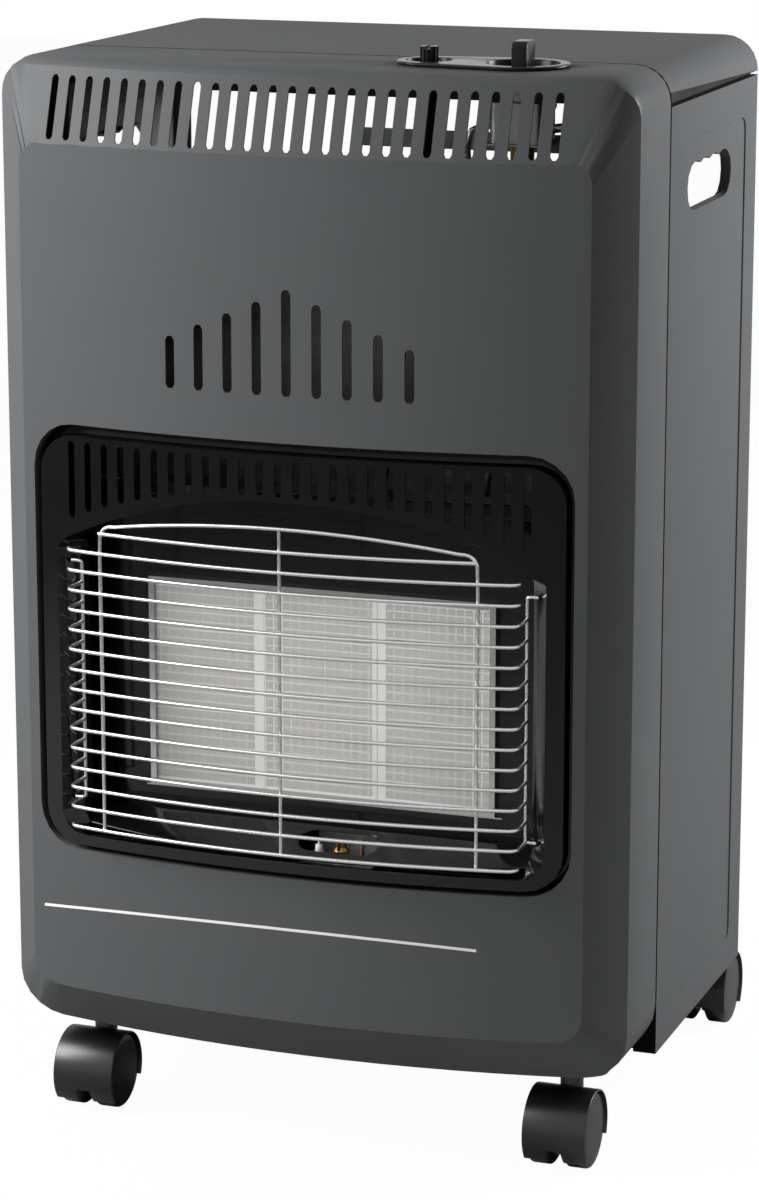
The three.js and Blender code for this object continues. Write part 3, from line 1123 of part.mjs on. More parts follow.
// ---------- controls ----------
function controlBezel() {
  const outline = eggOutline(BEZEL_LEFT_X, BEZEL_LEFT_RADIUS, BEZEL_RIGHT_X, BEZEL_RIGHT_RADIUS,
    CONTROL_Y, 12);
  const plate = join(
    prism("z", outline, CABINET_TOP + SEAT, BEZEL_TOP - 0.8),
    prism("z", grown(outline, -1), BEZEL_TOP - 1, BEZEL_TOP));
  const well = (x, r, sides) => ({
    cup: bar("z", [x, CONTROL_Y, 0], r + BEZEL_WALL, RECESS_FLOOR - BEZEL_WALL, BEZEL_TOP - 0.5, sides),
    hollow: bar("z", [x, CONTROL_Y, 0], r, RECESS_FLOOR, BEZEL_TOP + 5, sides),
  });
  const knobWell = well(KNOB_X, KNOB_RECESS, 28);
  const buttonWell = well(BUTTON_X, BUTTON_RECESS, 22);
  const bores = [
    bar("z", [KNOB_X, CONTROL_Y, 0], KNOB_RADIUS + RUNNING, 0, BEZEL_TOP, 36),
    bar("z", [BUTTON_X, CONTROL_Y, 0], BUTTON_RADIUS + RUNNING, 0, BEZEL_TOP, 24),
  ];
  const body = cut(join(plate, knobWell.cup, buttonWell.cup), knobWell.hollow, buttonWell.hollow, ...bores);
  return mesh("control_bezel", body, BLACK_PLASTIC);
}

const knobBottom = KNOB_DISC_TOP - KNOB_SKIRT;

function controlKnob() {
  const disc = lathe("z", [KNOB_X, CONTROL_Y, 0], [
    [0, knobBottom], [KNOB_RADIUS, knobBottom], [KNOB_RADIUS, KNOB_DISC_TOP - 1],
    [KNOB_RADIUS - 1.2, KNOB_DISC_TOP], [0, KNOB_DISC_TOP],
  ], 28);
  const front = CONTROL_Y - BLADE_LENGTH / 2;
  const rear = CONTROL_Y + BLADE_LENGTH / 2;
  const bladeSide = rounded([
    [front, knobBottom + 1], [rear, knobBottom + 1], [rear, KNOB_TOP, BLADE_ROUND / 3],
    [front, KNOB_TOP, BLADE_ROUND],
  ], 4);
  const blade = prism("x", bladeSide, KNOB_X - BLADE_WIDTH / 2, KNOB_X + BLADE_WIDTH / 2);
  const bore = bar("z", [KNOB_X, CONTROL_Y, 0], SPINDLE_RADIUS + SEAT, knobBottom - 1, KNOB_DISC_TOP, 16);
  return mesh("control_knob", cut(join(disc, blade), bore), BLACK_PLASTIC);
}

const rodTop = VALVE_BOTTOM + 12;

function valveSpindle() {
  const shaft = bar("z", [KNOB_X, CONTROL_Y, 0], SPINDLE_RADIUS, rodTop + SEAT, KNOB_DISC_TOP - SEAT, 16);
  return mesh("valve_spindle", shaft, BRASS);
}

// The push rod lifts the safety valve off its seat when the knob is pressed; it slides and never turns.
function valvePushRod() {
  const bottom = VALVE_BOTTOM + KNOB_TRAVEL + 1;
  const rod = bar("z", [KNOB_X, CONTROL_Y, 0], PUSH_ROD_RADIUS, bottom, rodTop, 12);
  return mesh("valve_push_rod", rod, BRASS);
}

function valveBody() {
  const half = VALVE_WIDTH / 2;
  const casting = prism("z", box2(KNOB_X - half, CONTROL_Y - half, KNOB_X + half, CONTROL_Y + half, 5, 3),
    VALVE_BOTTOM, VALVE_TOP);
  const neck = bar("z", [KNOB_X, CONTROL_Y, 0], VALVE_NECK, VALVE_TOP - 1, knobBottom - KNOB_TRAVEL - 1, 20);
  const spindleBore = bar("z", [KNOB_X, CONTROL_Y, 0], SPINDLE_RADIUS + RUNNING,
    rodTop - KNOB_TRAVEL, BEZEL_TOP, 16);
  const rodBore = bar("z", [KNOB_X, CONTROL_Y, 0], PUSH_ROD_RADIUS + RUNNING, VALVE_BOTTOM - 1, rodTop, 12);
  return mesh("gas_valve_body", cut(join(casting, neck), spindleBore, rodBore), ALUMINIUM);
}

function magnetUnit() {
  const top = RAIL_TOP - RAIL_SHEET - SEAT;
  const can = lathe("z", [KNOB_X, CONTROL_Y, 0], [
    [0, top - MAGNET_LENGTH], [5, top - MAGNET_LENGTH], [5, top - MAGNET_LENGTH + 7],
    [MAGNET_RADIUS, top - MAGNET_LENGTH + 8], [MAGNET_RADIUS, top], [0, top],
  ], 18);
  return mesh("safety_magnet", can, BRASS);
}

// A flat rail from the right side panel carries a shelf on which the valve stands.
function valveRail() {
  const right = INNER_HALF - SEAT;
  const rail = block(RAIL_LEFT, RAIL_Y, RAIL_TOP - RAIL_HEIGHT, right, RAIL_Y + RAIL_SHEET, RAIL_TOP);
  const tab = block(right - RAIL_SHEET, RAIL_Y, RAIL_TOP - RAIL_HEIGHT, right, RAIL_Y + 26, RAIL_TOP);
  const half = VALVE_WIDTH / 2 + 4;
  const shelf = block(KNOB_X - half, CONTROL_Y - half + 4, RAIL_TOP - RAIL_SHEET,
    KNOB_X + half, RAIL_Y + 1, RAIL_TOP);
  const passage = bar("z", [KNOB_X, CONTROL_Y, 0], PUSH_ROD_RADIUS + 2, RAIL_TOP - 5, RAIL_TOP + 5, 12);
  return mesh("valve_rail", cut(join(rail, tab, shelf), passage), GALVANISED);
}

function hoseInlet() {
  const start = VALVE_REAR + SEAT;
  const centre = [KNOB_X, 0, VALVE_BOTTOM + 16];
  const profile = [[1.8, start], [8, start], [8, start + 9], [HOSE_RADIUS - 1, start + 10]];
  const step = (HOSE_RUN - 16) / HOSE_RIBS;
  for (let k = 0; k < HOSE_RIBS; k++) {
    const at = start + 14 + k * step;
    profile.push([HOSE_RADIUS - 1, at], [HOSE_RADIUS, at + 0.4], [HOSE_RADIUS - 1, at + step * 0.9]);
  }
  profile.push([HOSE_RADIUS - 1.2, start + HOSE_RUN], [1.8, start + HOSE_RUN]);
  return mesh("hose_inlet", lathe("y", centre, profile, 12), BRASS);
}

function piezoIgniter() {
  const top = RECESS_FLOOR - BEZEL_WALL - SEAT;
  const centre = [BUTTON_X, CONTROL_Y, 0];
  const body = lathe("z", centre, [
    [0, PIEZO_BOTTOM], [PIEZO_RADIUS - 2, PIEZO_BOTTOM], [PIEZO_RADIUS, PIEZO_BOTTOM + 6],
    [PIEZO_RADIUS, top - 8], [PIEZO_COLLAR, top - 8], [PIEZO_COLLAR, top], [0, top],
  ], 20);
  const guide = bar("z", centre, BUTTON_RADIUS + RUNNING, buttonBottom - BUTTON_TRAVEL - 1, top + 1, 24);
  return mesh("piezo_igniter", cut(body, guide), BLACK_PLASTIC);
}

const buttonBottom = RECESS_FLOOR - 16;

// Ribbed push button with a dished, castellated top.
function piezoButton() {
  const points = [];
  const groove = BUTTON_RADIUS - RIB_DEPTH;
  for (let k = 0; k < BUTTON_RIBS; k++)
    for (const [share, r] of [[0, BUTTON_RADIUS], [0.4, BUTTON_RADIUS], [0.5, groove], [0.9, groove]]) {
      const angle = (2 * Math.PI * (k + share)) / BUTTON_RIBS;
      points.push([BUTTON_X + r * Math.cos(angle), CONTROL_Y + r * Math.sin(angle)]);
    }
  const stem = prism("z", points, buttonBottom, BUTTON_TOP);
  const half = NOTCH_WIDTH / 2;
  const past = BUTTON_RADIUS + 1;
  const notch = block(BUTTON_X - half, CONTROL_Y - past, BUTTON_TOP - NOTCH_DEPTH,
    BUTTON_X + half, CONTROL_Y + past, BUTTON_TOP + 2);
  return mesh("piezo_button", cut(stem, notch), BLACK_PLASTIC);
}

// ---------- floor pan and heat shield ----------
function panOutline() {
  const wide = INNER_HALF - SEAT;
  const start = BODY_START + SHEET + SEAT;
  const narrow = CABINET_REAR - SHEET - SEAT;
  const half = [
    [PAN_FRONT_HALF, PAN_FRONT, 10], [PAN_FRONT_HALF, start], [wide, start], [wide, narrow],
    [TRAY_HALF, narrow], [TRAY_HALF, TRAY_REAR, TRAY_CORNER],
  ];
  return rounded([...half, ...half.map(([x, y, r]) => [-x, y, r]).reverse()], 5);
}

const casterPlaces = () => [
  ["front_left", -FRONT_CASTER_X, FRONT_CASTER_Y, -1],
  ["front_right", FRONT_CASTER_X, FRONT_CASTER_Y, -1],
  ["rear_left", -REAR_CASTER_X, REAR_CASTER_Y, 1],
  ["rear_right", REAR_CASTER_X, REAR_CASTER_Y, 1],
];

function floorPan() {
  const outline = panOutline();
  const plate = prism("z", outline, PAN_BOTTOM, PAN_TOP);
  const rim = cut(
    prism("z", outline, PAN_BOTTOM, PAN_BOTTOM + PAN_LIP),
    prism("z", grown(outline, -SHEET), 0, CABINET_TOP),
    block(-HALF, -10, 0, HALF, BODY_START + SHEET + SEAT, CABINET_TOP));
  const stems = casterPlaces().map(([, x, y]) =>
    bar("z", [x, y, 0], STEM_RADIUS + RUNNING, PAN_BOTTOM - 5, PAN_TOP + 5, 18));
  return mesh("floor_pan", cut(join(plate, rim), ...stems), ANTHRACITE);
}

function heatShield() {
  const right = INNER_HALF - SEAT;
  const low = PAN_TOP + SEAT;
  const clearOfRim = PAN_BOTTOM + PAN_LIP + 4;
  const narrow = right - SHEET - SEAT;
  const plate = join(
    block(-narrow, SHIELD_Y, low, narrow, SHIELD_Y + SHEET, SHIELD_TOP),
    block(-right, SHIELD_Y, clearOfRim, right, SHIELD_Y + SHEET, SHIELD_TOP));
  const flanges = [-1, 1].map((side) =>
    block(Math.min(side * right, side * (right - SHEET)), SHIELD_Y, clearOfRim,
      Math.max(side * right, side * (right - SHEET)), SHIELD_Y + SHIELD_FLANGE, SHIELD_TOP));
  const footing = block(-narrow, SHIELD_Y, low, narrow, SHIELD_Y + SHIELD_FLANGE, low + SHEET);
  return mesh("heat_shield", join(plate, footing, ...flanges), GALVANISED);
}

// ---------- casters ----------
function casterSocket(place, x, y) {
  const base = PAN_TOP + SEAT;
  const inner = STEM_RADIUS + RUNNING;
  const outer = inner + SOCKET_WALL;
  const body = lathe("z", [x, y, 0], [
    [inner, base], [outer + 3, base], [outer + 3, base + 2], [outer, base + 2],
    [outer, base + SOCKET_HEIGHT], [inner, base + SOCKET_HEIGHT],
  ], 14);
  return mesh("caster_socket_" + place, body, GALVANISED);
}

// The hood arches over both wheels; its web between them holds the axle, its collar the stem.
function casterHood(place, x, y, trail) {
  const axleY = y + trail * CASTER_TRAIL;
  const width = 2 * WHEEL_OFFSET + WHEEL_WIDTH + 1.6;
  const cover = cut(
    bar("x", [x, axleY, WHEEL_RADIUS], HOOD_RADIUS, -width / 2, width / 2, 20),
    bar("x", [x, axleY, WHEEL_RADIUS], HOOD_RADIUS - HOOD_WALL, -width / 2 - 5, width / 2 + 5, 20));
  const below = rounded([
    [axleY - trail * 60, -10], [axleY + trail * 60, -10], [axleY + trail * 60, HOOD_LOW],
    [axleY + trail * 10, HOOD_LOW], [axleY - trail * 10, HOOD_LOW + HOOD_LIFT],
    [axleY - trail * 60, HOOD_LOW + HOOD_LIFT],
  ]);
  const notch = prism("y", [[x - 6, 0], [x + 6, 0], [x + 6, HOOD_LOW], [x + 3, HOOD_NOTCH],
    [x - 3, HOOD_NOTCH], [x - 6, HOOD_LOW]], axleY - 60, axleY + 60);
  const arch = cut(cover, prism("x", below, x - width, x + width));
  const disc = bar("x", [x, axleY, WHEEL_RADIUS], HOOD_RADIUS - 0.5, -HOOD_WEB / 2, HOOD_WEB / 2, 20);
  const web = cut(disc, block(x - 50, axleY - 60, -10, x + 50, axleY + 60, HOOD_NOTCH));
  const collar = bar("z", [x, y, 0], COLLAR_RADIUS, HOOD_TOP - HOOD_WALL * 4, PAN_BOTTOM - SEAT, 20);
  const stem = bar("z", [x, y, 0], STEM_RADIUS, HOOD_TOP - HOOD_WALL * 4, PAN_TOP + SOCKET_HEIGHT - 2, 16);
  const wheelRoom = [-1, 1].map((side) => {
    const ends = [side * (HOOD_WEB / 2), side * (width / 2 + 5)];
    return bar("x", [x, axleY, WHEEL_RADIUS], WHEEL_RADIUS + HOOD_CLEARANCE,
      Math.min(...ends), Math.max(...ends), 20);
  });
  const bore = bar("x", [x, axleY, WHEEL_RADIUS], AXLE_RADIUS + SEAT, -20, 20, 14);
  const body = cut(join(cut(join(collar, arch), ...wheelRoom), web, stem), bore);
  return mesh("caster_hood_" + place, cut(body, notch, ...wheelRoom), BLACK_PLASTIC);
}

function casterAxle(place, x, y, trail) {
  const reach = WHEEL_OFFSET + WHEEL_WIDTH / 2 - WHEEL_DISH - HUB_WALL - SEAT;
  const pin = bar("x", [x, y + trail * CASTER_TRAIL, WHEEL_RADIUS], AXLE_RADIUS, -reach, reach, 12);
  return mesh("caster_axle_" + place, pin, GALVANISED);
}

// A wheel with a rounded tread, a dished outer face and a blind bore for the axle.
function casterWheel(name, x, y, side) {
  const r = WHEEL_RADIUS;
  const w = WHEEL_WIDTH / 2;
  const out = side;
  const bore = AXLE_RADIUS + RUNNING;
  const body = lathe("x", [x + side * WHEEL_OFFSET, y, r], [
    [bore, -out * w], [r - TREAD_BEVEL_DEPTH, -out * w], [r, -out * (w - TREAD_BEVEL)],
    [r, out * (w - TREAD_ROUND)], [r - TREAD_ROUND, out * w], [0, out * (w - WHEEL_DISH)],
    [0, out * (w - WHEEL_DISH - HUB_WALL)], [bore, out * (w - WHEEL_DISH - HUB_WALL)],
  ], 20);
  return mesh(name, body, BLACK_PLASTIC);
}

function caster([place, x, y, trail]) {
  const axleY = y + trail * CASTER_TRAIL;
  return [
    casterSocket(place, x, y),
    casterHood(place, x, y, trail),
    casterAxle(place, x, y, trail),
    casterWheel("wheel_" + place + "_outer", x, axleY, Math.sign(x)),
    casterWheel("wheel_" + place + "_inner", x, axleY, -Math.sign(x)),
  ];
}

// ---------- assembly ----------
const heater = new THREE.Group();
heater.add(
  frontPanel(), topCover(), sidePanel("side_panel_left", -1), sidePanel("side_panel_right", 1),
  floorPan(), heatShield(), windowSurround(), firebox(), burnerFrame(), burnerPlenum(),
  ...ceramicPlaques(), mixingTube(), injector(), lowerReflector(), wireGuard(),
  pilotBracket(), pilotBurner(), sparkElectrode(), thermocouple(), pilotTube(), ignitionLead(), burnerTube(),
  controlBezel(), controlKnob(), valveSpindle(), valvePushRod(), valveBody(), magnetUnit(), valveRail(),
  hoseInlet(), piezoIgniter(), piezoButton(),
  ...screwPlaces().map((place, i) => flangeScrew("flange_screw_" + (i + 1), place)),
  ...casterPlaces().flatMap(caster));
// The part's origin is on the floor under the middle of its overall box.
const bounds = new THREE.Box3().setFromObject(heater);
heater.position.y = -(bounds.min.y + bounds.max.y) / 2;

export default heater;
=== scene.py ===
"""Looks of the portable gas cabinet heater, laid out as an add-on for Blender 4.5 and run as a script.

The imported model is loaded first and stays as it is. Fine pieces then stand for its faceted ones, and
everything gets the finish that it has on the real heater.
"""
import json
import math
from contextlib import contextmanager

import bmesh
import bpy
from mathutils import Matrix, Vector


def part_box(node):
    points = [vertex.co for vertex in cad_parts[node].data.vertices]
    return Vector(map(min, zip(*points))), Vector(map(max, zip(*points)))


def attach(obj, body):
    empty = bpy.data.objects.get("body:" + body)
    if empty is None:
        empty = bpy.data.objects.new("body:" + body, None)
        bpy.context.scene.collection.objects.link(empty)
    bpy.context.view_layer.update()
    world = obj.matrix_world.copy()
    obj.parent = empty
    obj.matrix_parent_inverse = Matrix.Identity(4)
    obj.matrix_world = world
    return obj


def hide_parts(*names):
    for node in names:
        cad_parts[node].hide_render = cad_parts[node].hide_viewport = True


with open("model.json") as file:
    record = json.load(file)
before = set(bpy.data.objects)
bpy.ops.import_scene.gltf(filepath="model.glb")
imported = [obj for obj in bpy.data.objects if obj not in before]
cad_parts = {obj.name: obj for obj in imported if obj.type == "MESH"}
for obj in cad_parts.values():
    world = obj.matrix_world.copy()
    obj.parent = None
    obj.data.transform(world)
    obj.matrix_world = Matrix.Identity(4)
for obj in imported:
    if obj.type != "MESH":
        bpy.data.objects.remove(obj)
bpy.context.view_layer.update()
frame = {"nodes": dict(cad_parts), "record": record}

bl_info = {
    "name": "Cabinet heater looks",
    "version": (1, 0, 0),
    "blender": (4, 5, 0),
    "location": "3D View > Sidebar > Heater",
    "description": "Builds the fine pieces, finishes and studio of a portable gas cabinet heater",
    "category": "Object",
}

FRONT_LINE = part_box("front_panel")[0][1]  # Y of the foremost line of the bowed front


# ---------- sizes and colours that a user would change ----------
def length(name, description, default):
    return bpy.props.FloatProperty(name=name, description=description, default=default, unit="LENGTH",
                                   precision=5)


def colour(name, description, default):
    return bpy.props.StringProperty(name=name, description=description + ", as an sRGB hex value",
                                    default=default)


class HeaterSizes(bpy.types.PropertyGroup):
    fold_radius: length("Fold radius", "Rounding of the cut and folded sheet edges", 0.0005)
    stripe_width: length("Stripe width", "Width of the printed pinstripe", 0.0018)
    stripe_peak: length("Stripe peak", "Highest point of the pinstripe above the floor", 0.1607)
    wire_radius: length("Wire radius", "Radius of the guard's long wires", 0.0012)
    post_radius: length("Post radius", "Radius of the guard's upright wires", 0.0012)
    port_pitch: length("Port pitch", "Distance between two neighbouring burner ports", 0.00197)
    port_depth: length("Port depth", "How deep the burner ports are shown", 0.0012)


class HeaterColours(bpy.types.PropertyGroup):
    paint: colour("Cabinet paint", "Satin anthracite powder coat", "#5a5b5c")
    enamel: colour("Enamel", "Black vitreous enamel", "#111112")
    plating: colour("Plating", "Bright nickel plating on the guard", "#cfcfce")
    stainless: colour("Stainless", "Polished stainless sheet", "#c4c4c3")
    ceramic: colour("Ceramic", "Unglazed white burner ceramic", "#f8f6f2")
    port: colour("Port", "Shade inside a burner port", "#37342f")
    zinc: colour("Zinc", "Zinc-coated sheet", "#9fa1a2")
    brass: colour("Brass", "Turned brass", "#b08d4a")
    aluminium: colour("Aluminium", "Drawn and cast aluminium", "#b4b6b7")
    plastic: colour("Plastic", "Black moulded plastic", "#1d1d1e")
    nylon: colour("Nylon", "Black moulded nylon of the casters", "#151516")
    porcelain: colour("Porcelain", "Glazed insulator", "#f1efe8")
    copper: colour("Copper", "Drawn copper tube", "#8d6d58")
    rubber: colour("Rubber", "Black silicone insulation", "#161617")
    # Painted shade: the near-black put on the seams' set-in edges, where shade falls.
    primer: colour("Primer", "Black primer in the seams", "#080808")
    stripe: colour("Stripe", "White pinstripe paint", "#f4f4f2")
    floor: colour("Floor", "Studio floor", "#f2f2f2")


def sizes():
    return bpy.context.scene.heater_sizes


def colours():
    return bpy.context.scene.heater_colours


# ---------- places ----------
FRONT_BOW = 22  # millimetres, from the middle to the side creases
CREASE_HALF = 188
KNOB_X, BUTTON_X, CONTROLS_Y = 126.5, 66, 77  # millimetres, as at() counts them
KNOB_RADIUS, BUTTON_RADIUS = 14.5, 5.8  # millimetres
AXLE_TRAIL, AXLE_HEIGHT, WHEEL_OFFSET = 15, 25, 11.8  # millimetres, from a caster's swivel line and floor
SAME_POINT = 1e-6  # metres; points nearer to each other than this are merged


def front_bow(x):
    """How far the front falls back at a given X, both in millimetres."""
    return FRONT_BOW * (x / CREASE_HALF) ** 2


def bow_slope(x):
    """The slope of the bowed front at a given X in metres."""
    return 2 * FRONT_BOW * x * 1000 / CREASE_HALF ** 2


def at(x, y, z):
    """A point given in millimetres from the middle of the front's foremost line, at floor level."""
    return Vector((x / 1000, FRONT_LINE + y / 1000, z / 1000))


def linear(hex_value):
    """An sRGB hex value as a linear colour."""
    parts = [int(hex_value[i:i + 2], 16) / 255 for i in (1, 3, 5)]
    return [p / 12.92 if p <= 0.04045 else ((p + 0.055) / 1.055) ** 2.4 for p in parts] + [1.0]


# ---------- working on a piece ----------
def choose(*pieces):
    """Leaves edit mode and selects these pieces alone, the first as the active one."""
    if bpy.context.object and bpy.context.object.mode != "OBJECT":
        bpy.ops.object.mode_set(mode="OBJECT")
    bpy.ops.object.select_all(action="DESELECT")
    for piece in pieces:
        piece.select_set(True)
    bpy.context.view_layer.objects.active = pieces[0]


@contextmanager
def editing(piece, kind="FACE", everything=True):
    """Opens a piece in edit mode with all of it, or none of it, selected."""
    choose(piece)
    bpy.ops.object.mode_set(mode="EDIT")
    bpy.ops.mesh.select_mode(type=kind)
    bpy.ops.mesh.select_all(action="SELECT" if everything else "DESELECT")
    yield
    bpy.ops.object.mode_set(mode="OBJECT")


def pick(piece, kind, wanted):
    """Selects the vertices, edges or faces that a test on the bmesh element accepts."""
    bm = bmesh.from_edit_mesh(piece.data)
    bpy.ops.mesh.select_mode(type={"verts": "VERT", "edges": "EDGE", "faces": "FACE"}[kind])
    bpy.ops.mesh.select_all(action="DESELECT")
    for element in getattr(bm, kind):
        if wanted(element):
            element.select_set(True)
    bm.select_flush_mode()
    bmesh.update_edit_mesh(piece.data)


def shape(piece, move):
    """Moves each vertex to where a function of its place says."""
    for vertex in piece.data.vertices:
        vertex.co = move(vertex.co)
    piece.data.update()


def modify(piece, kind, **settings):
    """Adds a modifier with its settings and applies it."""
    choose(piece)
    modifier = piece.modifiers.new(kind.title(), kind)
    for key, value in settings.items():
        setattr(modifier, key, value)
    bpy.ops.object.modifier_apply(modifier=modifier.name)


def settle(piece):
    """Puts a piece's place into its mesh, so that its object sits at the origin."""
    choose(piece)
    bpy.ops.object.transform_apply(location=True, rotation=True, scale=True)
    return piece


def added(name):
    """Names the primitive that was just added, and settles it."""
    piece = bpy.context.object
    piece.name = name
    return settle(piece)


def drum(name, centre, radius, depth, axis="z", sides=64):
    """A cylinder along X or Z, to be shaped further."""
    turn = {"x": (0, math.pi / 2, 0), "z": (0, 0, 0)}[axis]
    bpy.ops.mesh.primitive_cylinder_add(vertices=sides, radius=radius, depth=depth, location=centre,
                                        rotation=turn)
    return added(name)


def brick(name, low, high):
    """A cuboid between two corners, to be shaped further."""
    low, high = Vector(low), Vector(high)
    bpy.ops.mesh.primitive_cube_add(size=1, location=(low + high) / 2)
    bpy.context.object.scale = high - low
    return added(name)


def boolean(piece, tool, operation="DIFFERENCE"):
    """Cuts a tool out of a piece, or adds it, and removes the tool."""
    modify(piece, "BOOLEAN", operation=operation, solver="EXACT", object=tool)
    bpy.data.objects.remove(tool, do_unlink=True)


def smooth(piece, degrees):
    """Shades smooth across all edges that turn by less than an angle."""
    choose(piece)
    bpy.ops.object.shade_smooth_by_angle(angle=math.radians(degrees))


def soften(piece, width, degrees=35, segments=2):
    """Rounds the edges that turn by more than an angle."""
    modify(piece, "BEVEL", width=width, segments=segments, limit_method="ANGLE",
           angle_limit=math.radians(degrees), use_clamp_overlap=True, harden_normals=False)


def tidy(piece):
    """Merges doubled points and clears the edges inside flat faces."""
    with editing(piece):
        bpy.ops.mesh.remove_doubles(threshold=SAME_POINT)
        bpy.ops.mesh.dissolve_limited(angle_limit=math.radians(0.2))


def from_node(name, node):
    """A merged copy of a CAD node's mesh, to be refined."""
    mesh = frame["nodes"][node].data.copy()
    mesh.name = name
    piece = bpy.data.objects.new(name, mesh)
    bpy.context.scene.collection.objects.link(piece)
    piece.data.materials.clear()
    tidy(piece)
    return piece


def in_order(piece):
    """Lists a mesh's points and faces by place, because merging leaves them in another order each run."""
    mesh = piece.data
    places = sorted(tuple(vertex.co) for vertex in mesh.vertices)
    rank = {place: i for i, place in enumerate(places)}
    faces = []
    for face in mesh.polygons:
        ring = [rank[tuple(mesh.vertices[v].co)] for v in face.vertices]
        first = ring.index(min(ring))
        faces.append(ring[first:] + ring[:first])
    mesh.clear_geometry()
    mesh.from_pydata(places, [], sorted(faces))


def turned(name, profile, centre, axis="z", steps=64):
    """A profile of (radius, height) points in metres, drawn out point by point and spun about X or Z."""
    centre = Vector(centre)
    along = {"x": Vector((1, 0, 0)), "z": Vector((0, 0, 1))}[axis]
    out = {"x": Vector((0, 0, 1)), "z": Vector((1, 0, 0))}[axis]
    places = [centre + out * r + along * h for r, h in profile]
    bpy.ops.mesh.primitive_plane_add(size=0.001, location=places[0])
    piece = added(name)
    with editing(piece, "VERT"):
        bpy.ops.mesh.merge(type="CENTER")
        for before, after in zip(places, places[1:]):
            bpy.ops.mesh.extrude_region_move(TRANSFORM_OT_translate={"value": after - before})
        bpy.ops.mesh.select_all(action="SELECT")
        bpy.ops.mesh.spin(steps=steps, angle=2 * math.pi, center=centre, axis=along)
        bpy.ops.mesh.select_all(action="SELECT")
        bpy.ops.mesh.remove_doubles(threshold=SAME_POINT)
        bpy.ops.mesh.normals_make_consistent(inside=False)
    in_order(piece)
    return piece


def round_wire(name, points, radius):
    """A round wire through points, drawn as a curve and made a mesh with closed ends."""
    bpy.ops.curve.primitive_nurbs_path_add(location=(0, 0, 0))
    piece = bpy.context.object
    piece.name = name
    line = piece.data
    line.splines.clear()
    spline = line.splines.new("BEZIER")
    spline.bezier_points.add(len(points) - 1)
    for knot, point in zip(spline.bezier_points, points):
        knot.co = point
        knot.handle_left_type = knot.handle_right_type = "AUTO"
    spline.resolution_u = 6
    line.dimensions = "3D"
    line.bevel_depth = radius
    line.bevel_resolution = 3
    line.use_fill_caps = True
    choose(piece)
    bpy.ops.object.convert(target="MESH")
    with editing(piece):
        bpy.ops.mesh.remove_doubles(threshold=SAME_POINT)
        bpy.ops.mesh.normals_make_consistent(inside=False)
    return piece


def joined(name, *pieces):
    """Makes one piece of several."""
    choose(*pieces)
    bpy.ops.object.join()
    bpy.context.object.name = name
    return bpy.context.object


def stands_for(piece, body, slot, *nodes):
    """Says what a piece rides on and which CAD nodes it replaces, which it hides; its slot is not used."""
    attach(piece, body)
    if nodes:
        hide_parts(*nodes)


# ---------- finishes ----------
def add(tree, kind, inputs=None, **settings):
    """Adds a node with its settings; an input is a plain value or another node's output."""
    made = tree.nodes.new(kind)
    for key, value in settings.items():
        setattr(made, key, value)
    for key, value in (inputs or {}).items():
        if isinstance(value, bpy.types.NodeSocket):
            tree.links.new(value, made.inputs[key])
        else:
            made.inputs[key].default_value = value
    return made


def begin(name, **settings):
    """A new material with its shader's own values; gives back its tree, shader and object coordinates."""
    material = bpy.data.materials.new(name)
    material.use_nodes = True
    tree = material.node_tree
    shader = next(n for n in tree.nodes if n.type == "BSDF_PRINCIPLED")
    for key, value in settings.items():
        shader.inputs[key.replace("_", " ")].default_value = value
    place = add(tree, "ShaderNodeTexCoord").outputs["Object"]
    return material, tree, shader, place


def grain(tree, place, size_mm, detail=2.0, stretch=(1, 1, 1)):
    """Noise whose grains are about size_mm across, drawn out along an axis where stretch is less than 1."""
    turned_place = add(tree, "ShaderNodeMapping", {"Vector": place, "Scale": stretch}).outputs["Vector"]
    return add(tree, "ShaderNodeTexNoise", {"Vector": turned_place, "Scale": 1000 / size_mm,
                                            "Detail": detail}).outputs["Fac"]


def between(tree, value, low, high):
    """Spreads the middle of a noise's values, where most of them lie, over a range."""
    return add(tree, "ShaderNodeMapRange", {"Value": value, "From Min": 0.3, "From Max": 0.7,
                                            "To Min": low, "To Max": high}).outputs["Result"]


def tinted(tree, value, hex_value, spread):
    """The colour, varied a little lighter and darker by a noise value."""
    base = linear(hex_value)
    dark = [c * (1 - spread) for c in base[:3]] + [1.0]
    light = [min(1.0, c * (1 + spread)) for c in base[:3]] + [1.0]
    return add(tree, "ShaderNodeMix", {"Factor": value, "A": dark, "B": light},
               data_type="RGBA").outputs["Result"]


def bump(tree, shader, height, depth_mm):
    """Raises the surface by a pattern of heights, by depth_mm where it is 1."""
    made = add(tree, "ShaderNodeBump", {"Height": height, "Distance": depth_mm / 1000, "Strength": 1.0})
    tree.links.new(made.outputs["Normal"], shader.inputs["Normal"])


def paint_look(name, key, roughness, spread, peel_mm, peel_depth, slow_mm=38, **settings):
    """A coated or moulded surface: slow unevenness in colour and sheen, and a fine skin in relief."""
    material, tree, shader, place = begin(name, **settings)
    slow = grain(tree, place, slow_mm)
    tree.links.new(tinted(tree, slow, getattr(colours(), key), spread), shader.inputs["Base Color"])
    tree.links.new(between(tree, slow, roughness - 0.03, roughness + 0.03), shader.inputs["Roughness"])
    bump(tree, shader, grain(tree, place, peel_mm), peel_depth)
    return material


def metal_look(name, key, roughness, line_mm, stretch, depth, **settings):
    """A metal with fine lines drawn along one axis by its rolling, drawing or turning."""
    material, tree, shader, place = begin(name, Metallic=1.0, **settings)
    lines = grain(tree, place, line_mm, 3.0, stretch)
    tree.links.new(tinted(tree, lines, getattr(colours(), key), 0.07), shader.inputs["Base Color"])
    tree.links.new(between(tree, lines, roughness * 0.8, roughness * 1.25), shader.inputs["Roughness"])
    bump(tree, shader, lines, depth)
    return material


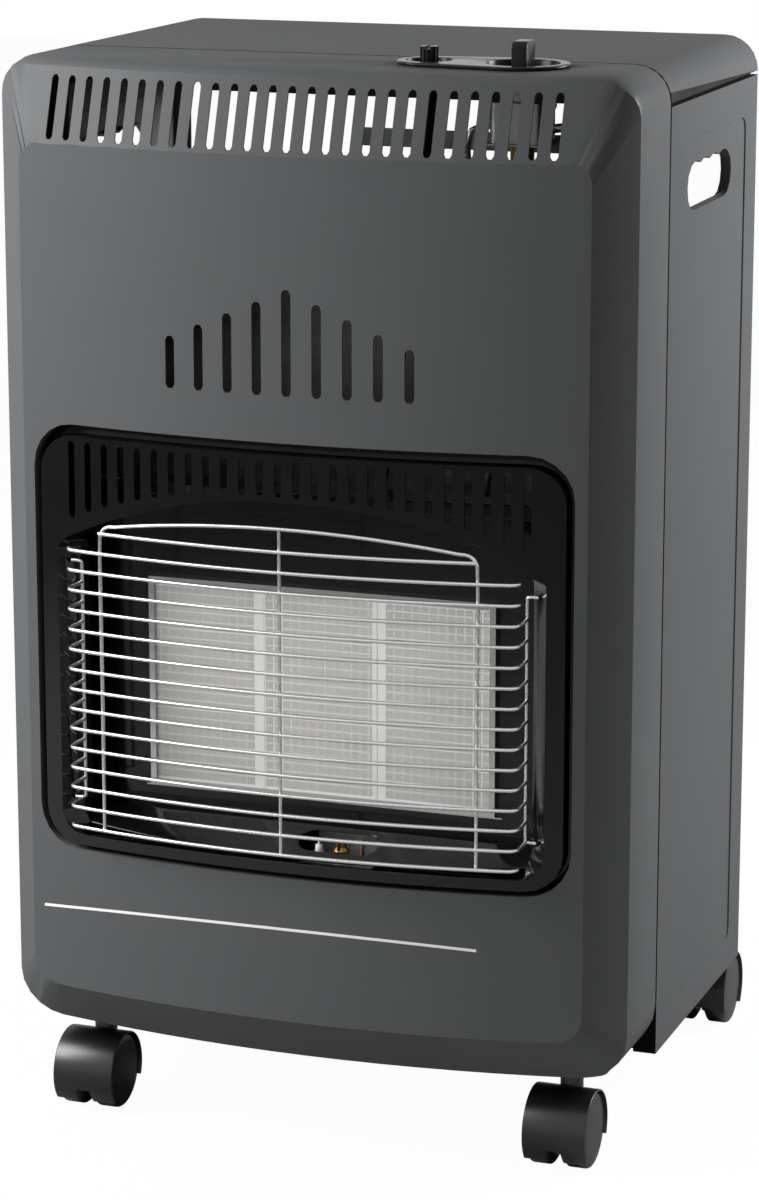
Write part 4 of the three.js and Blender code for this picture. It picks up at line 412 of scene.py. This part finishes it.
def powder_coat():
    # Polyester powder baked on sheet steel: an even satin sheen with a faint orange peel of 1.6 mm.
    return paint_look("powder_coated_steel", "paint", 0.42, 0.03, 1.6, 0.012, Specular_IOR_Level=0.0,
                      Coat_Weight=0.12, Coat_Roughness=0.3)


def vitreous_enamel():
    # Enamel fired on sheet steel: deep gloss black whose surface waves slowly over a centimetre.
    return paint_look("vitreous_enamel", "enamel", 0.12, 0.05, 11, 0.03, Specular_IOR_Level=0.4)


def nickel_plate():
    # Bright nickel on drawn wire: a near-white mirror softened by draw lines.
    return metal_look("bright_nickel_plate", "plating", 0.28, 0.5, (1, 1, 0.2), 0.004)


def polished_stainless():
    # Stainless sheet polished along X: long fine lines that stretch the highlights.
    return metal_look("polished_stainless", "stainless", 0.16, 0.6, (0.02, 1, 1), 0.004)


def burner_ceramic():
    # Cordierite pressed and fired without glaze: chalky white with pores of about half a millimetre.
    material, tree, shader, place = begin("unglazed_cordierite", IOR=1.5)
    tree.links.new(tinted(tree, grain(tree, place, 9), colours().ceramic, 0.04), shader.inputs["Base Color"])
    tree.links.new(between(tree, grain(tree, place, 0.5), 0.82, 0.95), shader.inputs["Roughness"])
    bump(tree, shader, grain(tree, place, 0.5, 4.0), 0.05)
    return material


def burner_port():
    # The wall of a burner port: the same ceramic, darkened as painted shade of the port's depth.
    material, tree, shader, place = begin("port_in_cordierite")
    tree.links.new(tinted(tree, grain(tree, place, 6), colours().port, 0.25), shader.inputs["Base Color"])
    tree.links.new(between(tree, grain(tree, place, 0.5), 0.85, 0.95), shader.inputs["Roughness"])
    return material


def zinc_sheet():
    # Hot-dip zinc on sheet steel: dull silver with spangle of about 7 mm.
    material, tree, shader, place = begin("hot_dip_zinc", Metallic=0.9)
    spangle = add(tree, "ShaderNodeTexVoronoi", {"Vector": place, "Scale": 1000 / 7}).outputs["Color"]
    flake = add(tree, "ShaderNodeSeparateColor", {"Color": spangle}).outputs["Red"]
    tree.links.new(tinted(tree, flake, colours().zinc, 0.12), shader.inputs["Base Color"])
    tree.links.new(between(tree, flake, 0.38, 0.52), shader.inputs["Roughness"])
    bump(tree, shader, grain(tree, place, 2), 0.01)
    return material


def turned_brass():
    # Free-cutting brass from the lathe: warm yellow with fine rings.
    return metal_look("turned_brass", "brass", 0.28, 0.6, (1, 1, 1), 0.01)


def aluminium():
    # Die-cast and drawn aluminium: pale grey, slightly frosted.
    return metal_look("cast_aluminium", "aluminium", 0.38, 0.8, (1, 1, 1), 0.02)


def black_abs():
    # Moulded ABS: deep black with a soft gloss and a spark-eroded grain of 0.4 mm.
    return paint_look("moulded_abs", "plastic", 0.22, 0.05, 0.4, 0.006, 20, Specular_IOR_Level=0.08)


def caster_nylon():
    # Moulded nylon: black, satin, with broad soft highlights.
    return paint_look("moulded_nylon", "nylon", 0.34, 0.06, 0.6, 0.008, 16)


def glazed_porcelain():
    # Glazed insulator: creamy white and wet-looking.
    return paint_look("glazed_porcelain", "porcelain", 0.15, 0.03, 4, 0.01, 8)


def drawn_copper():
    # Soft copper capillary: warm red-brown with handling marks.
    return metal_look("drawn_copper", "copper", 0.34, 1.2, (1, 1, 1), 0.01)


def silicone_rubber():
    # Extruded silicone sleeve: matt black.
    return paint_look("silicone_sleeve", "rubber", 0.75, 0.08, 0.8, 0.01, 12)


def black_primer():
    # Painted shade for the seams: matt near-black on their set-in edges, where shade falls.
    return paint_look("black_primer", "primer", 0.8, 0.05, 0.8, 0.006, Specular_IOR_Level=0.1)


def stripe_paint():
    # Screen-printed white line: a thin, slightly uneven film.
    return paint_look("screen_printed_white", "stripe", 0.45, 0.02, 0.7, 0.003, 15)


FINISHES = {
    "cabinet_paint": powder_coat,
    "black_enamel": vitreous_enamel,
    "bright_plating": nickel_plate,
    "polished_steel": polished_stainless,
    "ceramic": burner_ceramic,
    "zinc_steel": zinc_sheet,
    "brass": turned_brass,
    "aluminium": aluminium,
    "control_plastic": black_abs,
    "porcelain": glazed_porcelain,
    "copper": drawn_copper,
    "lead_insulation": silicone_rubber,
    "caster_plastic": caster_nylon,
    "burner_port": burner_port,
    "primer": black_primer,
    "stripe": stripe_paint,
}
made_finishes = {}


def finish_for(key):
    """The finish of a slot, made when it is first asked for."""
    if key not in made_finishes:
        made_finishes[key] = FINISHES[key]()
    return made_finishes[key]


def dress(piece, *keys):
    """Gives a piece its finishes, in the order of its slots."""
    piece.data.materials.clear()
    for key in keys:
        piece.data.materials.append(finish_for(key))


NODE_SLOTS = {row["node"]: row["material_slot"] for row in frame["record"]["subparts"]}
WAIST = 0.35  # metres above the floor; above it the front's corners begin further out
CORNER_ABOVE, CORNER_BELOW = 0.1902, 0.1885  # metres from the middle to where they begin
LEAST_FRONTAL, MOST_UPWARD, SLOPE_PLAY = 0.3, 0.4, 0.03  # what a face's normal may be on the bow


def lies_on_bow(mesh, face):
    """Tells the faces of the bowed front from those of its slots, corners and crown."""
    facing = face.normal
    if abs(facing.y) < LEAST_FRONTAL or facing.z > MOST_UPWARD:
        return False
    if abs(facing.x / facing.y + bow_slope(face.center.x)) > SLOPE_PLAY:
        return False
    reach = CORNER_ABOVE if face.center.z > WAIST else CORNER_BELOW
    return all(abs(mesh.vertices[v].co.x) <= reach for v in face.vertices)


def follow_bow(piece):
    """Shades what lies on the bowed front as one even curve, whatever its facets and slots."""
    mesh = piece.data
    normals = [corner.vector.copy() for corner in mesh.corner_normals]
    for face in mesh.polygons:
        if not lies_on_bow(mesh, face):
            continue
        facing = face.normal
        for corner in face.loop_indices:
            x = mesh.vertices[mesh.loops[corner].vertex_index].co.x
            normals[corner] = Vector((-facing.y * bow_slope(x), facing.y, facing.z)).normalized()
    mesh.normals_split_custom_set(normals)


def close_slivers(piece):
    """Closes the thin slivers that the front's lofted corners leave between their facets."""
    short_side, long_way_round = 0.0017, 0.07  # metres

    def is_sliver(face):
        return len(face.verts) == 3 and face.calc_perimeter() > long_way_round

    def is_short_side(edge):
        return edge.calc_length() < short_side and any(is_sliver(face) for face in edge.link_faces)

    with editing(piece, "EDGE", everything=False):
        pick(piece, "edges", is_short_side)
        bpy.ops.mesh.merge(type="COLLAPSE")


# The set-in edges at the seams, in millimetres as at() counts them.
FRONT_FOLD_Y = 112.8  # behind it the front turns in
SEAM_Y = 116.6  # in front of it the cover and the sides are set in
SIDE_RIM_Z = 677.3  # above it a side is set in under the cover
SKIRT_X, SKIRT_Z, APRON_Y = 195, 683, 328  # the cover's rim over the sides, as far back as its apron
REBATES = {
    "front_panel": lambda x, y, z: y > FRONT_FOLD_Y,
    "top_cover": lambda x, y, z: y < SEAM_Y or abs(x) > SKIRT_X and z < SKIRT_Z and y < APRON_Y,
    "side_panel_left": lambda x, y, z: y < SEAM_Y or z > SIDE_RIM_Z,
    "side_panel_right": lambda x, y, z: y < SEAM_Y or z > SIDE_RIM_Z,
}


def dark_rebates(piece, in_rebate):
    """Paints shade on the set-in edges at the seams with the near-black seam colour, in place of the cabinet
    paint.
    """
    dress(piece, "cabinet_paint", "primer")
    origin = at(0, 0, 0)
    for face in piece.data.polygons:
        if in_rebate(*((face.center - origin) * 1000)):
            face.material_index = 1


def refined(node, body, width, degrees=35, smooth_degrees=40, bowed=False):
    """Stands for a CAD node with its cut edges rounded and its curves shaded smooth."""
    piece = from_node("fine_" + node, node)
    if node == "front_panel":
        close_slivers(piece)
    if node == "top_cover":
        modify(piece, "TRIANGULATE")  # its long many-cornered faces would be filled in wrongly as one
    if width:
        soften(piece, width, degrees)
    smooth(piece, smooth_degrees)
    if bowed:
        follow_bow(piece)
    else:
        modify(piece, "WEIGHTED_NORMAL", keep_sharp=True)
    dress(piece, NODE_SLOTS[node])
    if node in REBATES:
        # The set-in edges at the seams get painted shade.
        dark_rebates(piece, REBATES[node])
    stands_for(piece, body, NODE_SLOTS[node], node)


# ---------- operators ----------
class HEATER_OT_cabinet(bpy.types.Operator):
    """Rounds the cut edges of the cabinet's sheets, as pressing and paint do"""
    bl_idname = "heater.cabinet"
    bl_label = "Cabinet sheets"

    def execute(self, context):
        for node in ("front_panel", "top_cover", "side_panel_left", "side_panel_right", "floor_pan",
                     "window_surround", "firebox", "burner_frame"):
            refined(node, "cabinet", sizes().fold_radius, bowed=node in ("front_panel", "window_surround"))
        return {"FINISHED"}


class HEATER_OT_pinstripe(bpy.types.Operator):
    """Prints the white pinstripe across the lower front"""
    bl_idname = "heater.pinstripe"
    bl_label = "Pinstripe"

    def execute(self, context):
        width, peak = sizes().stripe_width * 1000, sizes().stripe_peak * 1000
        # A shallow arc, highest at its crest and falling with the square of the way from there.
        left, right, crest, fall = -179, 122, 8, 0.00024
        film = 0.06  # millimetres in front of the paint
        bpy.ops.mesh.primitive_grid_add(x_subdivisions=48, y_subdivisions=1, size=1,
                                        rotation=(math.pi / 2, 0, 0))
        piece = added("pinstripe")

        def follow(co):
            x = left + (co.x + 0.5) * (right - left)
            return at(x, front_bow(x) - film, peak - fall * (x - crest) ** 2 + co.z * width)

        shape(piece, follow)
        modify(piece, "SOLIDIFY", thickness=0.0002, offset=-1)
        with editing(piece):
            bpy.ops.mesh.normals_make_consistent(inside=False)
        dress(piece, "stripe")
        stands_for(piece, "cabinet", "cabinet_paint")
        return {"FINISHED"}


class HEATER_OT_plaques(bpy.types.Operator):
    """Makes the three ceramic plaques with their fields of burner ports"""
    bl_idname = "heater.plaques"
    bl_label = "Ceramic plaques"

    def execute(self, context):
        fields = ((-115.6, -45.5), (-37.4, 35.3), (44.5, 115.4))  # millimetres, left and right of the ports
        for i, (left, right) in enumerate(fields, 1):
            self.plaque(i, left / 1000, right / 1000)
        return {"FINISHED"}

    def plaque(self, number, left, right):
        node = "ceramic_plaque_%d" % number
        low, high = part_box(node)
        half, margin, web_share = sizes().port_pitch / 2, 0.0032, 0.06
        cells_x = round((right - left) / half)
        bottom, top = low[2] + margin, high[2] - margin
        cells_z = round((top - bottom) / half)
        bpy.ops.mesh.primitive_grid_add(x_subdivisions=cells_x, y_subdivisions=cells_z, size=1,
                                        rotation=(math.pi / 2, 0, 0))
        piece = added("plaque_%d" % number)
        shape(piece, lambda co: Vector((left + (co.x + 0.5) * (right - left), low[1],
                                        bottom + (co.z + 0.5) * (top - bottom))))
        step_x, step_z = (right - left) / cells_x, (top - bottom) / cells_z
        block = 6  # cells in one square group of ports

        def is_port(face):
            centre = face.calc_center_median()
            i = int((centre.x - left) / step_x)
            k = int((centre.z - bottom) / step_z)
            in_group = i % block < block - 1 and k % block < block - 1
            return in_group and (i % block) % 2 == (k % block) % 2

        with editing(piece, everything=False):
            pick(piece, "faces", is_port)
            bpy.ops.mesh.inset(thickness=step_x * web_share, use_individual=True)
            bpy.ops.mesh.extrude_faces_move(
                TRANSFORM_OT_shrink_fatten={"value": -sizes().port_depth})
        pit = low[1] + sizes().port_depth * 0.2  # what lies behind this is inside a port
        # The port walls get painted shade for the ports' depth.
        dress(piece, "ceramic", "burner_port")
        for face in piece.data.polygons:
            if face.center.y > pit:
                face.material_index = 1
        with editing(piece, "EDGE", everything=False):
            pick(piece, "edges", lambda e: e.is_boundary)
            bpy.ops.mesh.extrude_region_move()
            frame_to_edge(piece, (left, bottom), (right, top), low, high)
            bpy.ops.mesh.extrude_region_move(TRANSFORM_OT_translate={"value": (0, high[1] - low[1], 0)})
            bpy.ops.mesh.edge_face_add()
            bpy.ops.mesh.select_all(action="SELECT")
            bpy.ops.mesh.normals_make_consistent(inside=False)
        stands_for(piece, "cabinet", "ceramic", node)


def frame_to_edge(piece, field_low, field_high, low, high):
    """Moves the selected rim of a port field out to the plaque's own edges."""
    bm = bmesh.from_edit_mesh(piece.data)
    reach = 1e-5
    for vertex in bm.verts:
        if not vertex.select:
            continue
        x, z = vertex.co.x, vertex.co.z
        if abs(x - field_low[0]) < reach:
            vertex.co.x = low[0]
        if abs(x - field_high[0]) < reach:
            vertex.co.x = high[0]
        if abs(z - field_low[1]) < reach:
            vertex.co.z = low[2]
        if abs(z - field_high[1]) < reach:
            vertex.co.z = high[2]
    bmesh.update_edit_mesh(piece.data)


class HEATER_OT_guard(bpy.types.Operator):
    """Bends the bright wire guard that stands in front of the burner"""
    bl_idname = "heater.guard"
    bl_label = "Wire guard"

    def execute(self, context):
        # All in millimetres, as at() counts them.
        bow, half, foremost = 16.15, 150.5, -15.85  # the wires' curve in plan
        behind = (sizes().wire_radius + sizes().post_radius) * 1000 - 0.2  # welded on, so a little sunk
        frame_half, first, pitch, count = 125.3, 215, 13, 15
        arch_top, shoulder = 424, 413
        return_y, return_half = 23, 149.5
        hook_low, hook_high, hook_end = 227.5, 385, 156.5
        wire, post = sizes().wire_radius, sizes().post_radius
        parts = []

        def depth(x):
            return foremost + bow * (x / half) ** 2

        def bar_at(name, points, radius):
            parts.append(round_wire(name, [at(*p) for p in points], radius))

        for k in range(count):
            z = first + k * pitch
            held = hook_low - pitch / 2 < z < hook_high - pitch / 2
            start = [(return_half, return_y, z), (half - 0.1, 9, z)] if held else [(half - 0.3, 5, z)]
            ends = start + [(half - 0.7, 3.4, z), (half - 3.2, 0.2, z),
                            (half - 8, depth(half - 8) + 0.05, z)]
            middle = [(s * half, depth(s * half), z)
                      for s in (-0.82, -0.62, -0.4, -0.2, 0, 0.2, 0.4, 0.62, 0.82)]
            left = [(-x, y, h) for x, y, h in ends]
            bar_at("long_wire", left + middle + ends[::-1], wire)
        top = first + count * pitch
        bar_at("short_wire", [(s * frame_half, depth(s * frame_half), top)
                              for s in (-1, -0.75, -0.5, -0.25, 0, 0.25, 0.5, 0.75, 1)], wire)

        def arch(share, z):
            x = share * frame_half
            return (x, depth(x) + behind, z)

        rise = arch_top - shoulder
        side = [arch(1, first), arch(1, (first + shoulder) / 2), arch(1, shoulder - 9),
                arch(0.994, shoulder - 3.5), arch(0.965, shoulder + 0.6),
                arch(0.9, shoulder + rise * 0.19), arch(0.6, shoulder + rise * 0.64),
                arch(0.3, shoulder + rise * 0.91)]
        bar_at("frame_wire", [(-x, y, z) for x, y, z in side] + [arch(0, arch_top)] + side[::-1], wire)
        bar_at("post", [(0, foremost + behind, first - 0.7), (0, foremost + behind, 320),
                        (0, foremost + behind, arch_top + 0.4)], post)
        bend = 2.2
        for s in (-1, 1):
            x, middle_z = s * return_half, (hook_low + hook_high) / 2
            lower = [(s * hook_end, hook_low), (x + s * bend, hook_low + 0.1), (x + s * 0.3, hook_low + 0.6),
                     (x, hook_low + bend)]
            upper = [(across, hook_low + hook_high - z) for across, z in lower[::-1]]
            bar_at("upright", [(across, return_y, z) for across, z in lower + [(x, middle_z)] + upper], post)
        guard = joined("guard", *parts)
        smooth(guard, 60)
        dress(guard, "bright_plating")
        stands_for(guard, "cabinet", "bright_plating", "wire_guard")
        return {"FINISHED"}


class HEATER_OT_burner_metal(bpy.types.Operator):
    """Rolls the polished sheet under the plaques"""
    bl_idname = "heater.burner_metal"
    bl_label = "Burner metal"

    def execute(self, context):
        low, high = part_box("lower_reflector")
        radius, wall = high[2] - low[2], 0.001
        bpy.ops.mesh.primitive_plane_add(size=0.001)
        piece = added("lower_roll")
        with editing(piece, "VERT"):
            bpy.ops.mesh.merge(type="CENTER")
            bpy.ops.transform.translate(value=(low[0], high[1], low[2] + radius))
            bpy.ops.mesh.extrude_region_move(TRANSFORM_OT_translate={"value": (high[0] - low[0], 0, 0)})
            bpy.ops.mesh.select_all(action="SELECT")
            bpy.ops.mesh.spin(steps=20, angle=math.pi / 2, center=(0, high[1], low[2]), axis=(1, 0, 0))
            bpy.ops.mesh.select_all(action="SELECT")
            bpy.ops.mesh.remove_doubles(threshold=SAME_POINT)
            bpy.ops.mesh.normals_make_consistent(inside=False)
        modify(piece, "SOLIDIFY", thickness=wall, offset=-1)
        smooth(piece, 50)
        dress(piece, "polished_steel")
        stands_for(piece, "cabinet", "polished_steel", "lower_reflector")
        return {"FINISHED"}


class HEATER_OT_controls(bpy.types.Operator):
    """Moulds the control plate, the knob and the igniter button on the top"""
    bl_idname = "heater.controls"
    bl_label = "Controls"

    def execute(self, context):
        self.plate()
        self.knob()
        refined("piezo_button", "igniter_button", 0.0002, 50)
        return {"FINISHED"}

    def plate(self):
        middle_z, thickness, cut = 704.9, 0.0022, 0.020
        small = drum("small_end", at(70, CONTROLS_Y, middle_z), 0.024, thickness, sides=96)
        large = drum("large_end", at(123, CONTROLS_Y, middle_z), 0.0325, thickness, sides=128)
        plate = joined("control_plate", small, large)
        with editing(plate):
            bpy.ops.mesh.convex_hull()
            bpy.ops.mesh.dissolve_limited(angle_limit=math.radians(0.3))
        soften(plate, 0.001, 60, 3)
        wall, play = 1.6, 0.5
        # Each cup's place, its radius inside, the radius of the hole in its floor, and its sides.
        cups = ((KNOB_X, 23, KNOB_RADIUS + play, 96), (BUTTON_X, 14.5, BUTTON_RADIUS + play, 64))
        for x, r, bore, sides in cups:
            cup = drum("cup", at(x, CONTROLS_Y, 701.75), (r + wall) / 1000, 0.0075, sides=sides)
            boolean(plate, cup, "UNION")
        for x, r, bore, sides in cups:
            boolean(plate, drum("well", at(x, CONTROLS_Y, 709.6), r / 1000, cut, sides=sides))
            boolean(plate, drum("bore", at(x, CONTROLS_Y, 700), bore / 1000, cut, sides=sides))
        tidy(plate)
        soften(plate, 0.0004, 50, 2)
        smooth(plate, 35)
        dress(plate, "control_plastic")
        stands_for(plate, "cabinet", "control_plastic", "control_bezel")

    def knob(self):
        rim, underside = KNOB_RADIUS / 1000, -0.007
        profile = [(0, underside), (rim, underside), (rim, -0.0011), (0.01435, -0.0005),
                   (0.0139, -0.0001), (0.0134, 0), (0, 0)]
        disc = turned("turn_knob", profile, at(KNOB_X, CONTROLS_Y, 701), steps=96)
        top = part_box("control_knob")[1][2]
        middle = at(KNOB_X, CONTROLS_Y, 695)
        half_width, half_length = 0.0049, 0.009
        blade = brick("blade", middle - Vector((half_width, half_length, 0)),
                      (middle.x + half_width, middle.y + half_length, top))
        near = 1e-5

        def top_edge(side):
            """Picks the blade's upper edge at its front, -1, or at its rear, 1."""
            return lambda e: all(v.co.z > top - near and (v.co.y - middle.y) * side > half_length - near
                                 for v in e.verts)

        with editing(blade, "EDGE", everything=False):
            pick(blade, "edges", top_edge(-1))
            bpy.ops.mesh.bevel(offset=0.0045, segments=8)
            pick(blade, "edges", top_edge(1))
            bpy.ops.mesh.bevel(offset=0.0015, segments=4)
            pick(blade, "edges", lambda e: e.calc_face_angle(0) > 0.9)  # the edges that are still sharp
            bpy.ops.mesh.bevel(offset=0.0006, segments=3)
        boolean(disc, blade, "UNION")
        boolean(disc, drum("bore", at(KNOB_X, CONTROLS_Y, 697), 0.0043, 0.0079, sides=48))
        tidy(disc)
        smooth(disc, 35)
        dress(disc, "control_plastic")
        stands_for(disc, "knob", "control_plastic", "control_knob")


class HEATER_OT_gas_parts(bpy.types.Operator):
    """Smooths the turned, drawn and folded parts of the gas train and the pilot"""
    bl_idname = "heater.gas_parts"
    bl_label = "Gas train and pilot"

    def execute(self, context):
        for node in ("burner_plenum", "mixing_tube", "injector", "pilot_bracket", "pilot_burner",
                     "gas_valve_body", "safety_magnet", "valve_rail", "hose_inlet", "piezo_igniter",
                     "heat_shield"):
            refined(node, "cabinet", 0.0003, 40)
        for node in ("spark_electrode", "thermocouple", "pilot_gas_tube", "ignition_lead",
                     "burner_gas_tube"):
            refined(node, "cabinet", 0, smooth_degrees=65)
        for i in range(1, 5):
            refined("flange_screw_%d" % i, "cabinet", 0.0002, 50)
        return {"FINISHED"}


class HEATER_OT_casters(bpy.types.Operator):
    """Moulds the hooded twin-wheel casters"""
    bl_idname = "heater.casters"
    bl_label = "Casters"

    def execute(self, context):
        # Each caster's place in millimetres, and whether its wheels trail to the front, -1, or the rear, 1.
        for place, x, y, trail in (("front_left", -164, 82, -1), ("front_right", 164, 82, -1),
                                   ("rear_left", -177, 351.5, 1), ("rear_right", 177, 351.5, 1)):
            self.hood(place, x, y, trail)
            for side, out in (("outer", 1 if x > 0 else -1), ("inner", -1 if x > 0 else 1)):
                self.wheel(place, side, x, y + trail * AXLE_TRAIL, out)
            refined("caster_socket_" + place, "cabinet", 0.0002, 50)
        return {"FINISHED"}

    def wheel(self, place, side, x, y, out):
        w = 0.0085  # half of a wheel's width
        profile = [(0.0035, -w), (0.0194, -w), (0.0201, -w + 0.0002), (0.0244, -w + 0.0026),
                   (0.0249, -w + 0.0032), (0.025, -w + 0.004), (0.025, w - 0.0034), (0.0248, w - 0.0024),
                   (0.0242, w - 0.0015), (0.0232, w - 0.0009), (0.019, w - 0.0004), (0.01, w - 0.0001),
                   (0, w), (0, w - 0.003), (0.0035, w - 0.003)]
        profile = [(r, h * out) for r, h in profile + profile[:1]]
        name = "caster_wheel_%s_%s" % (place, side)
        piece = turned(name, profile, at(x + out * WHEEL_OFFSET, y, AXLE_HEIGHT), "x", 72)
        smooth(piece, 40)
        dress(piece, "caster_plastic")
        stands_for(piece, "wheel_%s_%s_body" % (place, side), "caster_plastic", "wheel_%s_%s" % (place, side))

    def hood(self, place, x, y, trail):
        axle = at(x, y + trail * AXLE_TRAIL, AXLE_HEIGHT)
        node = "caster_hood_" + place
        low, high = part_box(node)
        width = high[0] - low[0]
        piece = drum("hood_" + place, axle, 0.0267, width, "x", 96)
        soften(piece, 0.0008, 60, 3)
        base = 0.046  # metres above the floor, inside the hood's crown
        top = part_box("floor_pan")[0][2] - 0.0003
        reach = 0.06  # past every side of the hood

        def upright(name, radius, end):
            middle = at(x, y, 0) + Vector((0, 0, (base + end) / 2))
            return drum(name, middle, radius, end - base, sides=48)

        def clear_wheel_rooms():
            rib_half, room_radius, room_width = 0.003, 0.0255, 0.06
            for side in (-1, 1):
                middle = axle + Vector((side * (rib_half + room_width / 2), 0, 0))
                boolean(piece, drum("wheel_room", middle, room_radius, room_width, "x", 96))

        boolean(piece, upright("collar", 0.0075, top), "UNION")
        clear_wheel_rooms()
        below = brick("below", (axle.x - reach, axle.y - reach, -0.02),
                      (axle.x + reach, axle.y + reach, 0.0085))
        boolean(piece, below)
        nearer, farther = sorted((axle.y - trail * 0.01, axle.y - trail * reach))
        ahead = brick("ahead", (axle.x - reach, nearer, -0.02), (axle.x + reach, farther, 0.0145))
        boolean(piece, ahead)
        notch_half = 0.0045
        notch = brick("notch", (axle.x - notch_half, axle.y - reach, -0.01),
                      (axle.x + notch_half, axle.y + reach, 0.017))
        with editing(notch, everything=False):
            pick(notch, "faces", lambda f: f.normal.z < -0.9)
            bpy.ops.transform.resize(value=(1.9, 1, 1))
        boolean(piece, notch)
        boolean(piece, drum("pin_hole", axle, 0.0033, 0.04, "x", 32))
        boolean(piece, upright("stem", 0.005, high[2]), "UNION")
        clear_wheel_rooms()
        tidy(piece)
        soften(piece, 0.0003, 50, 2)
        smooth(piece, 35)
        dress(piece, "caster_plastic")
        stands_for(piece, "caster_" + place, "caster_plastic", node)


class HEATER_OT_finishes(bpy.types.Operator):
    """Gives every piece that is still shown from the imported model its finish"""
    bl_idname = "heater.finishes"
    bl_label = "Finishes"

    def execute(self, context):
        for node, piece in frame["nodes"].items():
            if piece.hide_render:
                continue
            for slot in piece.material_slots:
                slot.material = finish_for(NODE_SLOTS[node])
            if not piece.material_slots:
                piece.data.materials.append(finish_for(NODE_SLOTS[node]))
        return {"FINISHED"}


class HEATER_OT_stage(bpy.types.Operator):
    """Sets the pale floor, the soft studio light and the camera"""
    bl_idname = "heater.stage"
    bl_label = "Studio"

    def execute(self, context):
        self.floor()
        self.world(context)
        middle = Vector((0, 0, 0.35))
        self.lamp("key", (-1.15, -0.78, 1.1), middle, size=0.8, watts=36)
        self.lamp("side", (0.95, 0.65, 0.85), middle, size=0.5, watts=20)
        self.camera(context)
        return {"FINISHED"}

    def floor(self):
        bpy.ops.mesh.primitive_plane_add(size=14, location=(0, 0, 0))
        floor = added("studio_floor")
        material, tree, shader, place = begin("studio_floor", Roughness=0.9)
        ray = add(tree, "ShaderNodeLightPath").outputs
        tint = tinted(tree, grain(tree, place, 400), colours().floor, 0.01)
        # The object is lit from below by a greyer floor than the camera sees, which is nearly plain white.
        bounce, whiteness = linear("#a8a8a8"), 0.97
        shade = add(tree, "ShaderNodeMix", {"Factor": ray["Is Camera Ray"], "A": bounce, "B": tint},
                    data_type="RGBA").outputs["Result"]
        tree.links.new(shade, shader.inputs["Base Color"])
        glow = add(tree, "ShaderNodeEmission", {"Color": (1, 1, 1, 1), "Strength": 1.0}).outputs["Emission"]
        seen = add(tree, "ShaderNodeMath", {0: ray["Is Camera Ray"], 1: whiteness},
                   operation="MULTIPLY").outputs["Value"]
        mixed = add(tree, "ShaderNodeMixShader",
                    {0: seen, 1: shader.outputs["BSDF"], 2: glow}).outputs["Shader"]
        output = next(n for n in tree.nodes if n.type == "OUTPUT_MATERIAL")
        tree.links.new(mixed, output.inputs["Surface"])
        floor.data.materials.append(material)

    def world(self, context):
        world = bpy.data.worlds.new("studio_air")
        context.scene.world = world
        world.use_nodes = True
        tree = world.node_tree
        ray = add(tree, "ShaderNodeLightPath").outputs
        either = add(tree, "ShaderNodeMath", {0: ray["Is Camera Ray"], 1: ray["Is Glossy Ray"]},
                     operation="MAXIMUM").outputs["Value"]
        seen = add(tree, "ShaderNodeMath", {0: either, 1: ray["Is Transmission Ray"]},
                   operation="MAXIMUM").outputs["Value"]
        # White where it is seen, straight or in a reflection, and dimmer as light on the object.
        light, backdrop = 0.18, 1.0
        strength = add(tree, "ShaderNodeMapRange",
                       {"Value": seen, "To Min": light, "To Max": backdrop}).outputs["Result"]
        background = next(n for n in tree.nodes if n.type == "BACKGROUND")
        background.inputs["Color"].default_value = (1, 1, 1, 1)
        tree.links.new(strength, background.inputs["Strength"])

    def lamp(self, name, place, target, size, watts):
        bpy.ops.object.light_add(type="AREA", location=place)
        lamp = bpy.context.object
        lamp.name = name
        lamp.data.shape = "SQUARE"
        lamp.data.size = size
        lamp.data.energy = watts
        lamp.rotation_euler = (target - Vector(place)).to_track_quat("-Z", "Y").to_euler()

    def camera(self, context):
        # Where the photograph was taken from, and how far down and round the camera looked.
        place, downward, round_to_left = (0.8441, -2.3817, 0.9384), 13.456, 19.647
        bpy.ops.object.camera_add(location=place, rotation=(math.radians(90 - downward), 0,
                                                            math.radians(round_to_left)))
        camera = bpy.context.object
        camera.data.sensor_fit = "AUTO"
        camera.data.sensor_width = 36
        camera.data.lens = 116.5
        context.scene.camera = camera


# ---------- panel and registration ----------
STEPS = (
    HEATER_OT_cabinet,
    HEATER_OT_pinstripe,
    HEATER_OT_plaques,
    HEATER_OT_guard,
    HEATER_OT_burner_metal,
    HEATER_OT_controls,
    HEATER_OT_gas_parts,
    HEATER_OT_casters,
    HEATER_OT_finishes,
    HEATER_OT_stage,
)


class HEATER_PT_panel(bpy.types.Panel):
    """Lists the heater's steps in the order in which they are made"""
    bl_idname = "HEATER_PT_panel"
    bl_label = "Cabinet heater"
    bl_space_type = "VIEW_3D"
    bl_region_type = "UI"
    bl_category = "Heater"

    def draw(self, context):
        for step in STEPS:
            self.layout.operator(step.bl_idname)
        for group in (context.scene.heater_sizes, context.scene.heater_colours):
            for key in group.bl_rna.properties.keys():
                if key not in ("rna_type", "name"):
                    self.layout.prop(group, key)


CLASSES = (HeaterSizes, HeaterColours) + STEPS + (HEATER_PT_panel,)


def register():
    for made in CLASSES:
        bpy.utils.register_class(made)
    bpy.types.Scene.heater_sizes = bpy.props.PointerProperty(type=HeaterSizes)
    bpy.types.Scene.heater_colours = bpy.props.PointerProperty(type=HeaterColours)


def unregister():
    del bpy.types.Scene.heater_colours
    del bpy.types.Scene.heater_sizes
    for made in reversed(CLASSES):
        bpy.utils.unregister_class(made)


def main():
    register()
    bpy.context.scene.view_settings.view_transform = "Standard"
    choose(next(iter(frame["nodes"].values())))
    bpy.ops.object.select_all(action="DESELECT")
    for step in STEPS:
        group, name = step.bl_idname.split(".")
        getattr(getattr(bpy.ops, group), name)()


if __name__ == "__main__":
    main()
